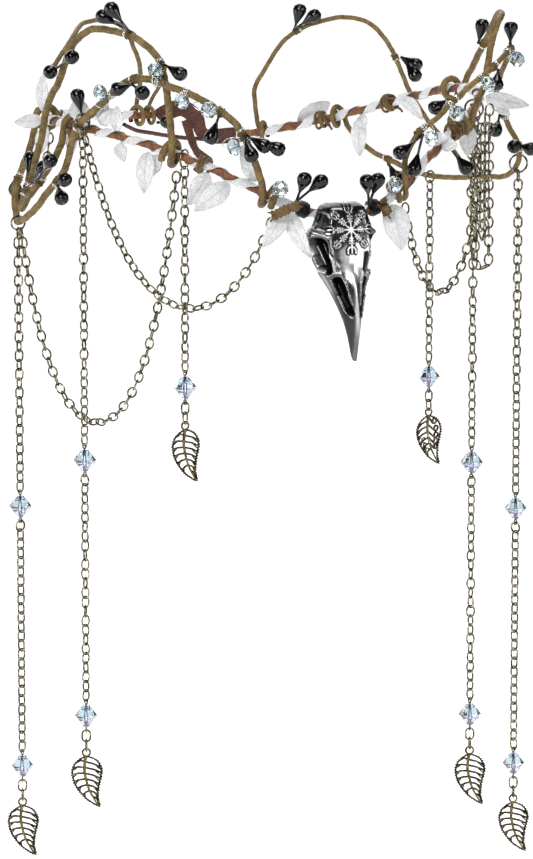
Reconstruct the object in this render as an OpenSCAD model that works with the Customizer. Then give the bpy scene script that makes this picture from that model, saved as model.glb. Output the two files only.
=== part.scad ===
// Elf crown: a ribbon-wound hoop with vines, leaves, berries, a raven skull and chain drops.
// Millimetres, +Z up, the skull at the front (-Y). The origin is the centre of the head opening.

/* [Hoop] */
// Half of the hoop's width, across the head
hoop_half_w = 83; // [80:0.5:86]
// Half of the hoop's length, front to back
hoop_half_l = 92; // [90:0.5:94]
// Thickness of the cord-covered hoop wire
hoop_d = 2.8; // [2.6:0.1:3]
// Distance along the hoop that one turn of the leaf ribbon takes
ribbon_pitch = 15; // [14:0.5:18]
// Width of the leaf ribbon
ribbon_w = 6.5; // [4:0.5:7]
// Thickness of the leaf ribbon with its glitter
ribbon_t = 0.5; // [0.4:0.1:0.6]

/* [Trimmings] */
// Thickness of a fabric leaf
leaf_t = 1; // [0.8:0.1:1]
// Diameter of a berry
berry_d = 5.6; // [4.6:0.1:5.8]
// Diameter of a berry's wire stem
stem_d = 1; // [0.8:0.1:1]
// Diameter of a glass rondelle
rondelle_d = 6; // [5:0.5:6]
// Length of a glass rondelle along its hole
rondelle_h = 4.6; // [4:0.2:5]

/* [Skull] */
// Height of the skull from crown to beak tip
skull_h = 58; // [54:1:60]
// Width of the skull at the brow
skull_w = 28; // [26:1:29]
// Height of the raised figure on the forehead
relief_h = 0.6; // [0.4:0.1:0.8]

/* [Chains] */
// Outer length of a chain link
link_l = 5.3; // [5.2:0.05:5.4]
// Outer width of a chain link
link_w = 3.9; // [3.8:0.05:4.2]
// Wire of a chain link
link_wire = 0.75; // [0.7:0.01:0.76]
// Width of a bicone bead
bicone_d = 8.2; // [7:0.1:8.4]
// Length of a bicone bead along its hole
bicone_h = 8.6; // [8:0.1:8.8]
// Length of a leaf charm
charm_l = 20.2; // [18:0.1:20.4]
// Thickness of a leaf charm
charm_t = 1.4; // [1.2:0.1:1.6]

/* [Hidden] */

gap = 0.15;
cord_r = hoop_d / 2;
ribbon_steps = 8;
ribbon_in = (cord_r + 0.32) / cos(180 / ribbon_steps);
ribbon_out = ribbon_in + ribbon_t;
wrap_r = ribbon_out + gap;
view_turn = -20;

// Places round the crown are [angle from the front towards +X, distance outside the hoop, height].
hoop_ends = [-170, 165];
hoop_rise = [
  [-165, -11], [-140, -7], [-110, -3], [-80, -1.5], [-55, -4], [-40, -10], [-25, -19], [-10, -31],
  [10, -31], [17, -21], [25, -11.5], [35, -4], [50, 4], [75, 7], [95, 5], [115, -2], [135, -11],
  [160, -20]
];

// Vines: route by hand, [angle, outside, height], from the coil at its start.
left_long_r = 1.6;
left_long = [
  [-22, 4.6, -17], [-24.5, 4.4, -6], [-28, 4.4, 4], [-33, 4.8, 10], [-38, 6.4, 14.5],
  [-43, 8, 17.5], [-50, 6.4, 20], [-57, 4.4, 18], [-64, 4.3, 10], [-69, 4.7, 4.5],
  [-73, 5, 0], [-75, 5.1, -4.5], [-76, 5.5, -9], [-77, 6.4, -16], [-79, 8, -22],
  [-82, 10, -27], [-85, 12, -33], [-88, 13.6, -37], [-91, 14.5, -39.5], [-95, 14.2, -41],
  [-99.5, 13, -41.5], [-103, 12.6, -39.5], [-105, 12.8, -35.5], [-106, 12.4, -31],
  [-107, 11, -26.5], [-107, 8.7, -20.5], [-107, 6.4, -14.5], [-107, 4.8, -8]
];
left_tall_r = 1.6;
left_tall = [
  [-44.2, 4.4, -3], [-44.8, 4.2, 6], [-45.6, 4, 15], [-46.8, 3.3, 22], [-48.8, 2.4, 28],
  [-52.5, 1.4, 32], [-57, 0.8, 35], [-62, 0.2, 36], [-67, 0.3, 36.5], [-71, 1.4, 36],
  [-76, 2, 32], [-79, 2.3, 28], [-82, 2.3, 22], [-85, 3, 14], [-88.5, 4, 8],
  [-91.5, 4.8, 0], [-92.5, 5.6, -8], [-93.5, 7.2, -15], [-94, 8.6, -22], [-95, 10.7, -28.5],
  [-95.3, 12, -33], [-94, 13.3, -35.5], [-91.4, 13.8, -34.5], [-88.5, 13.4, -30],
  [-86, 12, -26], [-84, 9.8, -20.5], [-81.5, 7.3, -14], [-80.5, 5, -7.5]
];
left_rear_r = 1.1;
left_rear = [
  [-166.5, 3.7, -6], [-167, 2.5, 0], [-166, -0.5, 7], [-164, -3, 13], [-161, -5, 18.5],
  [-157, -9, 24], [-150, -14, 27.5], [-140, -18, 30.5], [-125, -20, 33], [-110, -17.5, 34],
  [-98, -12, 34], [-90, -5.5, 30], [-86, 0, 26], [-85.2, 3.6, 22], [-85.4, 5.2, 18.5]
];
left_twig_r = 0.9;
left_twig = [[-170.3, 3.4, -7], [-172, 3.6, -3], [-174, 4, 1], [-175, 4, 5], [-175.5, 3.8, 9]];
back_arch_r = 1.1;
back_arch = [
  [159.4, 3.6, -15], [160, 3.8, -7], [160, 4, -1], [157.5, 5, 6], [153, 6, 17], [148, 7, 23],
  [143, 8, 26], [137, 8, 28], [130, 8, 26], [124, 7, 18], [119, 5.2, 7], [116, 4.4, 0],
  [113, 5, -6], [109, 6, -13], [104.5, 7, -18], [101, 8, -23], [98.5, 9, -27.5]
];
right_long_r = 1.25;
right_long = [
  [15.4, 4.2, -16], [15.2, 5, -10], [16.5, 6, -5], [19, 6.5, 0], [25.5, 6.8, 5], [30, 6, 9],
  [35, 6, 12], [38.5, 7.4, 15], [42.5, 9.8, 18.5], [46, 11.2, 21], [51.5, 12.2, 24],
  [59, 12.6, 25.5], [65, 12.4, 24.5], [70, 11.8, 21], [73, 10.6, 17], [75.5, 9.8, 13],
  [77.5, 9.2, 8], [78.5, 8.8, 4], [78.5, 9.6, 0], [77.5, 12, -4], [77, 14.2, -9],
  [76.5, 17, -14], [77, 18, -19], [79.5, 17.2, -25], [84, 15, -29], [89, 12, -30],
  [98, 10, -32], [105, 9.2, -33.2], [111.4, 8.6, -33.5], [117, 7.8, -32.2], [122, 7, -29.5], [128, 6, -26],
  [132, 5, -21], [135, 4.2, -16]
];
right_tall_r = 1.5;
right_tall = [
  [43.6, 4.7, 4.5], [45, 5.5, 8.5], [46.8, 6.6, 13], [48.3, 7.2, 20], [49, 8.2, 28],
  [50, 8.9, 32.5], [52, 9.7, 37], [56, 9.7, 39], [62, 8, 39], [68, 6.8, 37],
  [74, 5.9, 32], [79, 5.7, 27], [83, 5, 22], [86, 4.7, 18], [89, 4.6, 13.5], [92, 4.5, 9.5]
];
coil_steps = 8;

// Leaves on the hoop: [foot angle, turn round the hoop, tip angle, tip outside, tip height, width,
// angle that the blade faces].
left_leaves = [
  [-102.3, 60, -101, 2, 15, 5.2, -40], [-99, 0, -100, 13.5, -3.5, 5.2, -10],
  [-99.4, -60, -101, 4, -16.5, 5, -30],
  [-77, 90, -77.5, 1, 9, 7.4, -20], [-68.6, 100, -67.5, -1, 11, 4.4, -20],
  [-68.6, 100, -63.4, 0.6, 7, 4.6, -30], [-81.6, -110, -84, -1.5, -13.5, 4.8, -50],
  [-60.5, -50, -58, 4, -12, 4.8, -20], [-62, 60, -60.5, 3, 8.5, 4.4, -20]
];
front_leaves = [
  [-51.5, -50, -51, 6.5, -23, 6.6, -30], [-49.6, -100, -51.6, 1.5, -17.5, 6, -30],
  [-35, -30, -39, 8, -26, 7.2, -15], [-29.5, -50, -36.6, 14, -27.5, 7.6, -30],
  [-24.5, 120, -27, 1, -4, 5.4, -30], [-15.6, -40, -21.4, 12, -40.5, 6.6, -20],
  [-14.4, -90, -11, 12, -44.5, 6.2, -30], [11.8, -50, 11.2, 12, -43.5, 9.4, -15]
];
right_leaves = [
  [46, -90, 44.9, 1, -13.5, 6.6, -10], [30.6, 40, 26, 5, -1.5, 6, -20],
  [30.6, 40, 30.5, 9, -7, 5.4, 0], [64, 10, 61.8, 19.5, 3.5, 5.6, -20],
  [64, 10, 63, 12, -1, 5.4, 10]
];
back_leaves = [
  [148.3, 20, 141, 9, -7, 7.6, -20], [130.5, -95, 126.5, -4, -15, 5, -20],
  [130.5, -95, 130, 0, -27, 6, -30], [113.5, 180, 104, -5, -9, 5, -10]
];

// Berries: [foot of the sprig, tip of each berry], all as [angle, outside, height].
left_berries = [
  [[-57, 2.3, 36.9], [-62.5, 5, 47], [-65.5, 5.5, 43]],
  [[-84.4, 6, 18.6], [-78.5, 12, 19.5], [-72, 8, 26.5]],
  [[-73.6, 2.6, 2.4], [-76, 3, 13]],
  [[-54, 7, 17.6], [-58.4, 10, 15], [-48.5, 12, 14.5]],
  [[-46.8, 4.8, 26.2], [-40.2, 6, 21.5]],
  [[-32, 6.7, 7.2], [-34, 9, -3]],
  [[-26.2, 6.7, 1.1], [-23.6, 10.5, -9], [-19.8, 7, -4.8], [-16.5, 7, -5.6]]
];
low_berries = [
  [[-96.4, 10.8, -27.6], [-99.5, 7, -15]],
  [[-108.2, 12.4, -26.6], [-111.5, 12.5, -34], [-110.6, 9.5, -38]],
  [[-93, 10, -25.2], [-89, 5.5, -17.6]],
  [[-84.2, 13, -23.5], [-77, 12.4, -12.5]],
  [[-77.9, 9.7, -23], [-71.8, 12, -20], [-73.4, 12, -29.5]]
];
front_berries = [
  [[-13.5, 2.6, -24.8], [-11.6, 9, -13.5], [-7, 9, -15]],
  [[5.3, 3.4, -26.4], [2.8, 9, -15], [6.4, 9, -14.6]],
  [[18.6, 8.6, -1.4], [10.6, 8.6, -8.5], [15.6, 8.6, -16.5]]
];
right_berries = [
  [[30.5, 3.9, 10.1], [25.6, 1.6, 6.4]],
  [[81.2, 2.9, 24.5], [80.5, 4.5, 34]],
  [[59.5, 12.4, 27.7], [60, 12.6, 36]],
  [[45.6, 13.1, 19.6], [44.4, 13, 12]],
  [[75.4, 17, -14.9], [70, 13.5, -14.5], [73, 23, -16.5]],
  [[77, 10, -3.5], [72, 6.5, -10]],
  [[31.5, 3.3, -7.3], [36.6, 8.5, -18.4]]
];
back_berries = [
  [[149.6, 5, 22.8], [148, 6.5, 33], [143, 5.5, 30]],
  [[120.7, 7.4, 13.7], [115.5, 10.4, 9.4], [115, 8, 4.6]],
  [[124, 7, -30.6], [120, 6, -38], [117, 5, -36.8]],
  [[-170.3, -4.2, -13.5], [-171.5, -12, -12.5]]
];

// Glass rondelles: [angle, outside, height, turn of the hole about the vertical].
left_glass = [
  [-62.8, 8.5, 13.8, 20], [-46.8, 9.6, 23.6, 60], [-41.5, 4.7, 12.3, 30], [-34, 9, 9.7, 70],
  [-28.4, 6.8, -4.2, 10], [-17.4, 7.4, -19.1, 50]
];
right_glass = [
  [11.5, 6.3, -19.3, 10], [21.4, 8.6, -3, 40], [30.8, 8.4, 5.2, 70], [40.5, 12.7, 15.1, 20],
  [55, 16.1, 22.4, 60]
];

binding_places = [-37.4, 37.4, 120.4, 141];
binding_l = 5;

// Skull, top to bottom as parts of its height and half width:
// [down, half width, side depth, brow width, brow depth, ridge depth, back depth].
skull_rows = [
  [0, 0.42, 3, 0.34, 5, 6, 1], [0.03, 0.58, 4.5, 0.48, 8, 9.5, 0], [0.1, 0.7, 5, 0.56, 9.5, 11.4, 0],
  [0.16, 0.8, 5, 0.6, 10.2, 12.2, 0], [0.21, 0.98, 5.5, 0.64, 10.6, 12.8, 0],
  [0.28, 0.92, 6, 0.62, 11, 13.4, 0], [0.36, 0.8, 7, 0.56, 11.4, 14, 0.5],
  [0.44, 0.68, 9, 0.42, 12.4, 15.6, 2], [0.52, 0.54, 10.4, 0.3, 13.8, 17.4, 4.5],
  [0.62, 0.41, 11.6, 0.22, 15, 18.2, 7.5], [0.74, 0.29, 12.6, 0.15, 15.8, 18.4, 10],
  [0.86, 0.19, 13.2, 0.1, 15.6, 17.6, 11.8], [0.96, 0.12, 13.6, 0.06, 15.2, 16.6, 13],
  [1, 0.05, 14.4, 0.03, 15.2, 15.6, 14]
];
skull_x = -4;
skull_back = -(hoop_half_l + wrap_r + 0.4);
skull_top = -25;
skull_wall = 2;
figure_drop = 9.8;
figure_r = 9.4;

// Leaf charm: [down, left edge, midrib, right edge].
charm_rows = [
  [0, -0.6, 0, 0.6], [1.3, -3.1, -0.5, 3.7], [3.2, -5, -0.7, 5.4], [5.9, -5.8, -0.8, 6.2],
  [8.6, -5.5, -0.3, 5.8], [11.4, -4.5, 0.4, 5.1], [14, -2.8, 1.3, 4.7], [16.8, -0.4, 2.8, 4.6],
  [19, 2.7, 4.2, 5.2], [20.2, 4.8, 5.2, 5.6]
];

// Drops: [name, angle, outside and height of what it hangs from, its radius, links above the
// bead, links below it, links to the charm, the charm's turn from the view].
drops = [
  ["left_outer", -95, 14.2, -41, left_long_r, 28, 24, 2, 8],
  ["left_inner", -71.5, 4.9, 1.7, 2.05, 33, 23, 2, 8],
  ["left_mid", -42.1, 0, hoop_z(-42.1), ribbon_out + 0.15, 21, 0, 2, 32],
  ["right_inner", 53.2, 0, hoop_z(53.2), ribbon_out + 0.1, 35, 23, 2, 8],
  ["right_outer", 78.2, 18, -22.2, 2.4, 35, 24, 2, 8],
  ["right_mid", 111.4, 8.6, -33.5, right_long_r, 20, 0, 2, 32]
];
link_pitch = link_l - 2 * link_wire - 0.13;
link_reach = (link_l - link_wire) / 2;
ring_r = 2.1;
ring_wire = 0.8;
loop_r = 0.9;
loop_wire = 0.6;
charm_loop_r = 1.5;
charm_loop_wire = 0.7;
air = 0.13;
// Depths from the last link to a pin's eye, from a bead to its eyes, and on to the next thing
link_to_eye = link_reach - (link_wire + loop_wire) / 2 - air + loop_r;
bead_to_eye = bicone_h / 2 + 0.1 + loop_wire / 2 + loop_r;
eye_to_ring = loop_r - (loop_wire + ring_wire) / 2 - air + ring_r;
ring_to_link = ring_r - (ring_wire + link_wire) / 2 - air + link_reach;
link_to_charm = link_reach - (link_wire + charm_loop_wire) / 2 - air + charm_loop_r;

// Chain runs that are one swept cord: both ends, and how full the swag hangs
cord_chain_r = 1.8;
swag_left = [[-92.4, 14.3, -43.2], [-43.2, 3.5, -14.8], 2.48];
swag_front = [[-75, 0.2, -4.8], [-19.4, 0.6, -31.4], 1.8];
swag_right = [[17.4, 0.4, -28], [49.6, 0.4, -44], 1.78];
swag_right_rise = [[49.6, 0.4, -30], [49.6, 0.4, -15], [49.6, 0.4, -0.4]];
loop_right = [[57.4, -0.2, 1.9], [57.4, 5, 4], -59];

function unit(v) = v / norm(v);
function spot(q) = [(hoop_half_w + q[1]) * sin(q[0]), -(hoop_half_l + q[1]) * cos(q[0]), q[2]];
function hoop_z(t) =
  (lookup(t - 8, hoop_rise) + lookup(t, hoop_rise) + lookup(t + 8, hoop_rise)) / 3;
function hoop_at(t) = spot([t, 0, hoop_z(t)]);
function hoop_along(t) = unit(hoop_at(t + 1) - hoop_at(t - 1));
function hoop_out(t) = unit(cross(hoop_along(t), [0, 0, 1]));
function hoop_up(t) = cross(hoop_out(t), hoop_along(t));
function round_hoop(t, turn, r) = hoop_at(t) + r * (cos(turn) * hoop_out(t) + sin(turn) * hoop_up(t));

function catmull(a, b, c, d, u) =
  (2 * b + (c - a) * u + (2 * a - 5 * b + 4 * c - d) * u * u + (3 * b - a - 3 * c + d) * u * u * u) / 2;
function smooth(rows, n) = let (last = len(rows) - 1) [
  for (i = [0:last - 1], k = [0:n - 1])
    catmull(rows[max(i - 1, 0)], rows[i], rows[i + 1], rows[min(i + 2, last)], k / n),
  rows[last]
];
function route(rows, n = 2) = [for (q = smooth(rows, n)) spot(q)];

// A vine's coil round the hoop, from one angle of turn to another
function coil_r(r) = (wrap_r + r) / cos(180 / coil_steps);
function coil(t, from, to, r, way = 1) =
  let (n = round(abs(to - from) * coil_steps / 360), per_turn = (2 * r + 0.5) / 1.55)
  [for (i = [0:n]) round_hoop(t + way * per_turn * i / coil_steps, from + (to - from) * i / n, coil_r(r))];

function path_dir(p, i) = unit(p[min(i + 1, len(p) - 1)] - p[max(i - 1, 0)]);
function carried(p, i, side) =
  let (d = path_dir(p, i), here = unit(side - (side * d) * d))
  i == len(p) - 1 ? [here] : concat([here], carried(p, i + 1, here));

function cosh(x) = (exp(x) + exp(-x)) / 2;
function sinh(x) = (exp(x) - exp(-x)) / 2;
function asinh(x) = ln(x + sqrt(x * x + 1));
// A chain's own curve between two ends at any heights
function swag_path(a, b, fullness, n) =
  let (from = spot(a), to = spot(b), span = norm([to.x - from.x, to.y - from.y]),
       k = span / (2 * fullness), x0 = span / 2 - k * asinh((to.z - from.z) / (2 * k * sinh(fullness))))
  [for (i = [0:n]) let (u = (1 - cos(180 * i / n)) / 2, here = from + u * (to - from))
    [here.x, here.y, from.z + k * (cosh((u * span - x0) / k) - cosh(x0 / k))]];
// Two straight legs joined by half a circle at the bottom
function loop_path(a, b, bottom, n) =
  let (from = spot(a), to = spot(b), r = norm([to.x - from.x, to.y - from.y]) / 2)
  concat([from],
    [for (i = [0:n]) let (u = (1 - cos(180 * i / n)) / 2, here = from + u * (to - from))
      [here.x, here.y, bottom + r * (1 - sin(180 * i / n))]],
    [to]);

// Heights down a drop, and the turn of each thing about the vertical
function drop_row(name) = [for (d = drops) if (d[0] == name) d][0];
function drop_xy(d) = spot([d[1], d[2], 0]);
function hang_ring_r(d) = d[4] + ring_wire / 2 + 0.7;
function hang_z(d) = d[3] - (hang_ring_r(d) - ring_wire / 2 - d[4] - 0.2);
function first_link_z(d) = hang_z(d) - hang_ring_r(d) + (ring_wire + link_wire) / 2 + air - link_reach;
function last_link_z(d) = first_link_z(d) - (d[5] - 1) * link_pitch;
function bead_z(d) = last_link_z(d) - link_to_eye - bead_to_eye;
function ring_z(d) = bead_z(d) - bead_to_eye - eye_to_ring;
function low_link_z(d) = ring_z(d) - ring_to_link;
function low_last_z(d) = low_link_z(d) - (d[6] - 1) * link_pitch;
function low_bead_z(d) = d[6] == 0 ? bead_z(d) : low_last_z(d) - link_to_eye - bead_to_eye;
function end_link_z(d) = low_bead_z(d) - bead_to_eye - link_to_eye;
function charm_z(d) = end_link_z(d) - (d[7] - 1) * link_pitch - link_to_charm;
function first_turn(d) = atan2(hoop_along(d[1]).y, hoop_along(d[1]).x);
function twist(d) = (((view_turn + 45 - first_turn(d)) % 90 + 135) % 90 - 45) / (d[5] - 1);
function link_turn(d, i) = first_turn(d) + (90 + twist(d)) * i;
function low_turn(d) = link_turn(d, d[5] - 1) + 90 * (1 + d[6]);
function charm_turn(d) = view_turn + d[8];

// A section swept along a path, its first side direction given
module sweep(path, shape, side) {
  m = len(shape);
  sides = carried(path, 0, side);
  points = [
    for (i = [0:len(path) - 1])
      let (d = path_dir(path, i), u = sides[i], v = cross(d, u))
      for (q = shape) path[i] + q.x * u + q.y * v
  ];
  walls = [
    for (i = [0:len(path) - 2], k = [0:m - 1])
      let (a = i * m + k, b = i * m + (k + 1) % m)
      for (face = [[a, b + m, b], [a, a + m, b + m]]) face
  ];
  start = [for (k = [1:m - 2]) [0, k, k + 1]];
  end = [for (k = [1:m - 2]) [0, k + 1, k] + (len(path) - 1) * m * [1, 1, 1]];
  polyhedron(points = points, faces = concat(start, walls, end));
}

function ngon(r, n) = [for (k = [0:n - 1]) r * [cos(360 * k / n), sin(360 * k / n)]];
module tube(path, r, sides = 8) {
  sweep(path, ngon(r, sides), abs(path_dir(path, 0).z) < 0.9 ? [0, 0, 1] : [1, 0, 0]);
}

// Places its children at a point with their +Z along a direction
module aim(from, dir) {
  translate(from)
    rotate([0, acos(dir.z / norm(dir)), atan2(dir.y, dir.x)])
      children();
}

module torus(r, wire) {
  rotate_extrude($fn = 32) translate([r, 0]) circle(d = wire, $fn = 16);
}

module hoop() {
  n = 64;
  color("saddlebrown")
    tube([for (i = [0:n]) hoop_at(hoop_ends[0] + (hoop_ends[1] - hoop_ends[0]) * i / n)], cord_r);
}

// One flat ribbon that winds round the hoop from end to end
module leaf_ribbon() {
  start = hoop_ends[0] + 3;
  end = hoop_ends[1] - 3;
  turns = floor((end - start) * 1.53 / ribbon_pitch);
  n = turns * ribbon_steps;
  half = ribbon_w / 2 / 1.53;
  points = [
    for (i = [0:n])
      let (t = start + half + (end - start - 2 * half) * i / n, turn = 360 * i / ribbon_steps)
      for (q = [[-half, ribbon_in], [half, ribbon_in], [half, ribbon_out], [-half, ribbon_out]])
        round_hoop(t + q.x, turn, q.y)
  ];
  walls = [
    for (i = [0:n - 1], k = [0:3])
      let (a = i * 4 + k, b = i * 4 + (k + 1) % 4)
      for (face = [[a, b, b + 4], [a, b + 4, a + 4]]) face
  ];
  last = n * 4;
  color("whitesmoke")
    polyhedron(points = points,
      faces = concat([[0, 2, 1], [0, 3, 2]], walls, [[last, last + 1, last + 2], [last, last + 2, last + 3]]));
}

// A pointed leaf between two points, its blade turned to face a given angle
module leaf(from, to, w, facing) {
  along = to - from;
  l = norm(along);
  bow = unit(cross(cross(along, [sin(facing), -cos(facing), 0]), along));
  path = [for (u = [0, 0.12, 0.35, 0.62, 0.86, 1]) from + u * along + l * 0.1 * sin(180 * u) * bow];
  widths = [0.16, 0.5, 0.96, 1, 0.62, 0.12] * w / 2;
  points = [
    for (i = [0:len(path) - 1])
      let (d = path_dir(path, i), side = unit(cross(d, bow)), face = cross(side, d))
      for (q = [[-1, -1], [1, -1], [1, 1], [-1, 1]])
        path[i] + q.x * widths[i] * side + q.y * leaf_t / 2 * face
  ];
  last = (len(path) - 1) * 4;
  walls = [
    for (i = [0:len(path) - 2], k = [0:3])
      let (a = i * 4 + k, b = i * 4 + (k + 1) % 4)
      for (side = [[a, b, b + 4], [a, b + 4, a + 4]]) side
  ];
  polyhedron(points = points,
    faces = concat([[0, 2, 1], [0, 3, 2]], walls, [[last, last + 1, last + 2], [last, last + 2, last + 3]]));
}

module leaves(rows) {
  color("gainsboro")
    for (q = rows)
      leaf(round_hoop(q[0], q[1], wrap_r + 0.5), spot([q[2], q[3], q[4]]), q[5], q[6]);
}

// A vine: a coil, its route and a second coil
module vine(rows, r, first, last) {
  color("olivedrab")
    tube(concat(first, route(rows), last), r);
}
module vine_left_long() {
  vine(left_long, left_long_r,
    coil(-18.8, -405, 0, left_long_r, -1), coil(-107, 0, 405, left_long_r, -1));
}
module vine_left_tall() {
  vine(left_tall, left_tall_r,
    coil(-46.8, -405, 0, left_tall_r, 1), coil(-80.5, 0, 360, left_tall_r, 1));
}
module vine_left_rear() {
  vine(left_rear, left_rear_r, coil(-164.4, -405, 0, left_rear_r, -1), []);
}
module vine_left_twig() {
  vine(left_twig, left_twig_r, coil(-168.6, -360, 0, left_twig_r, -1), []);
}
module vine_back_arch() {
  vine(back_arch, back_arch_r, coil(156.8, -405, 0, back_arch_r, 1), []);
}
module vine_right_long() {
  vine(right_long, right_long_r,
    coil(13.6, -405, 0, right_long_r, 1), coil(136, 0, 405, right_long_r, 1));
}
module vine_right_tall() {
  vine(right_tall, right_tall_r,
    coil(40.2, -405, 0, right_tall_r, 1), coil(93.2, 0, -405, right_tall_r, 1));
}

// Paper tape wound tight round the hoop, its edges showing as ridges
module bindings() {
  ridges = 4;
  wave = [for (i = [0:2 * ridges]) [wrap_r + (i % 2 == 0 ? 0.6 : 1), binding_l * (i / (2 * ridges) - 0.5)]];
  color("darkolivegreen")
    for (t = binding_places)
      aim(hoop_at(t), hoop_along(t))
        rotate_extrude($fn = 24)
          polygon(concat([[wrap_r + 0.08, -binding_l / 2]], wave, [[wrap_r + 0.08, binding_l / 2]]));
}

// A teardrop berry with its wire stem, from a foot to its tip
module berry(from, to) {
  l = norm(to - from);
  bulb = min(8.6, l * 0.9);
  r = berry_d / 2;
  aim(from, to - from)
    rotate_extrude($fn = 20)
      polygon([
        [0, 0], [stem_d / 2, 0], [stem_d / 2, l - bulb], [r * 0.45, l - bulb * 0.78],
        [r * 0.86, l - bulb * 0.5], [r, l - bulb * 0.33], [r * 0.9, l - bulb * 0.14],
        [r * 0.5, l - bulb * 0.02], [0, l]
      ]);
}
module berries(rows) {
  color("black")
    for (sprig = rows) {
      foot = spot(sprig[0]);
      union() {
        translate(foot) sphere(d = 1.4 * stem_d, $fn = 16);
        for (i = [1:len(sprig) - 1]) berry(foot, spot(sprig[i]));
      }
    }
}

// A bead with eight flat facets above and below its girdle, drilled through
module cut_bead(d, h, girdle, table, hole) {
  profile = [
    [-table / 2, -h / 2], [table / 2, -h / 2], [d / 2, -girdle / 2], [d / 2, girdle / 2],
    [table / 2, h / 2], [-table / 2, h / 2], [-d / 2, girdle / 2], [-d / 2, -girdle / 2]
  ];
  difference() {
    intersection() {
      facet_pair(profile, 0, d);
      facet_pair(profile, 45, d);
      facet_pair(profile, 90, d);
      facet_pair(profile, 135, d);
    }
    cylinder(d = hole, h = 2 * h, center = true, $fn = 24);
  }
}
module facet_pair(profile, turn, d) {
  rotate([90, 0, turn]) linear_extrude(2 * d, center = true) polygon(profile);
}

module glass(rows) {
  color("lightcyan")
    for (q = rows)
      aim(spot([q[0], q[1], q[2]]), [cos(q[3] + view_turn), sin(q[3] + view_turn), 0.3])
        cut_bead(rondelle_d, rondelle_h, 1.2, 3, 1);
}

// Skull outline at one level, back edge to back edge, grown outwards by a margin
function skull_section(q, grow) =
  let (w = q[1] * skull_w / 2 + grow, b = q[3] * skull_w / 2 + grow * 0.6, front = q[5] + grow)
  [
    [-w, q[6]], [-w, q[2]], [-b, q[4] + grow * 0.7], [-b * 0.5, (q[4] + 2 * q[5]) / 3 + grow],
    [0, front], [b * 0.5, (q[4] + 2 * q[5]) / 3 + grow], [b, q[4] + grow * 0.7], [w, q[2]], [w, q[6]]
  ];
module skull_loft(rows, grow) {
  fine = smooth(rows, 2);
  m = 9;
  points = [
    for (q = fine) for (p = skull_section(q, grow)) [p.x, -p.y, -q[0] * skull_h]
  ];
  walls = [
    for (i = [0:len(fine) - 2], k = [0:m - 1])
      let (a = i * m + k, b = i * m + (k + 1) % m)
      for (face = [[a, b, b + m], [a, b + m, a + m]]) face
  ];
  last = (len(fine) - 1) * m;
  polyhedron(points = points, faces = concat(
    [for (k = [1:m - 2]) [0, k + 1, k]], walls, [for (k = [1:m - 2]) [last, last + k, last + k + 1]]));
}

// Eight staves with crossbars; the ends are tridents and crescents in turn
module stave_figure() {
  for (i = [0:7])
    rotate(45 * i) {
      translate([-0.35, 0.4]) square([0.7, figure_r - 1.2]);
      for (y = [2.6, 3.8, 5]) translate([-1.2, y]) square([2.4, 0.5]);
      if (i % 2 == 0) trident();
      else crescent();
    }
}
module trident() {
  translate([-1.7, figure_r - 3.2]) square([3.4, 0.6]);
  for (x = [-1.7, 1.1]) translate([x, figure_r - 3.2]) square([0.6, 2.6]);
  translate([-0.35, figure_r - 1.2]) square([0.7, 1]);
}
module crescent() {
  translate([0, figure_r - 1.4])
    difference() {
      circle(r = 1.7, $fn = 16);
      circle(r = 1.1, $fn = 16);
      translate([-2, 0.5]) square([4, 2]);
    }
}

module skull() {
  nostril_z = [-30, -41];
  color("dimgray")
    translate([skull_x, skull_back, skull_top])
      difference() {
        union() {
          skull_loft(skull_rows, 0);
          intersection() {
            skull_loft(skull_rows, relief_h);
            translate([0, 0, -figure_drop])
              rotate([90, 0, 0])
                linear_extrude(24) stave_figure();
          }
        }
        // The hollow back
        translate([0, 2, -skull_wall])
          skull_hollow();
        for (side = [-1, 1]) {
          hull() {
            translate([side * 12.2, -6.6, -15.4]) sphere(r = 2.6, $fn = 14);
            translate([side * 8.8, -9.2, -24]) sphere(r = 2.4, $fn = 14);
            translate([side * 12.6, -4.2, -21]) sphere(r = 2.2, $fn = 14);
          }
          hull() {
            translate([side * 5.4, -14.2, nostril_z[0]]) sphere(r = 1.7, $fn = 12);
            translate([side * 2.1, -17.6, nostril_z[1]]) sphere(r = 0.8, $fn = 12);
          }
        }
      }
}
module skull_hollow() {
  rows = [for (q = skull_rows) if (q[0] > 0.02 && q[0] < 0.45)
    [q[0], q[1] - 2 * skull_wall / skull_w, q[2], q[3] - skull_wall / skull_w, q[4], q[5], 0]];
  skull_loft(rows, 0);
}

// Black thread wound round the hoop at each temple, hard against the skull
module temple_lashings() {
  color("black")
    for (t = [-11.6, 7.6])
      aim(hoop_at(t), hoop_along(t))
        rotate_extrude($fn = 24)
          polygon([
            [wrap_r + 0.08, -2.4], [wrap_r + 0.7, -2.4], [wrap_r + 0.9, -1.2], [wrap_r + 0.7, 0],
            [wrap_r + 0.9, 1.2], [wrap_r + 0.7, 2.4], [wrap_r + 0.08, 2.4]
          ]);
}

// Two cut lengths of twig laid on the hoop beside the skull
module cut_stubs() {
  color("peru") {
    rod(spot([-19.5, 9.6, -29]), spot([-13.4, 8, -25.6]), 2);
    rod(spot([9.5, 5.9, -30.5]), spot([8.2, 6.1, -26.6]), 2);
  }
}
module rod(from, to, r) {
  aim(from, to - from) cylinder(r = r, h = norm(to - from), $fn = 24);
}

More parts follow.
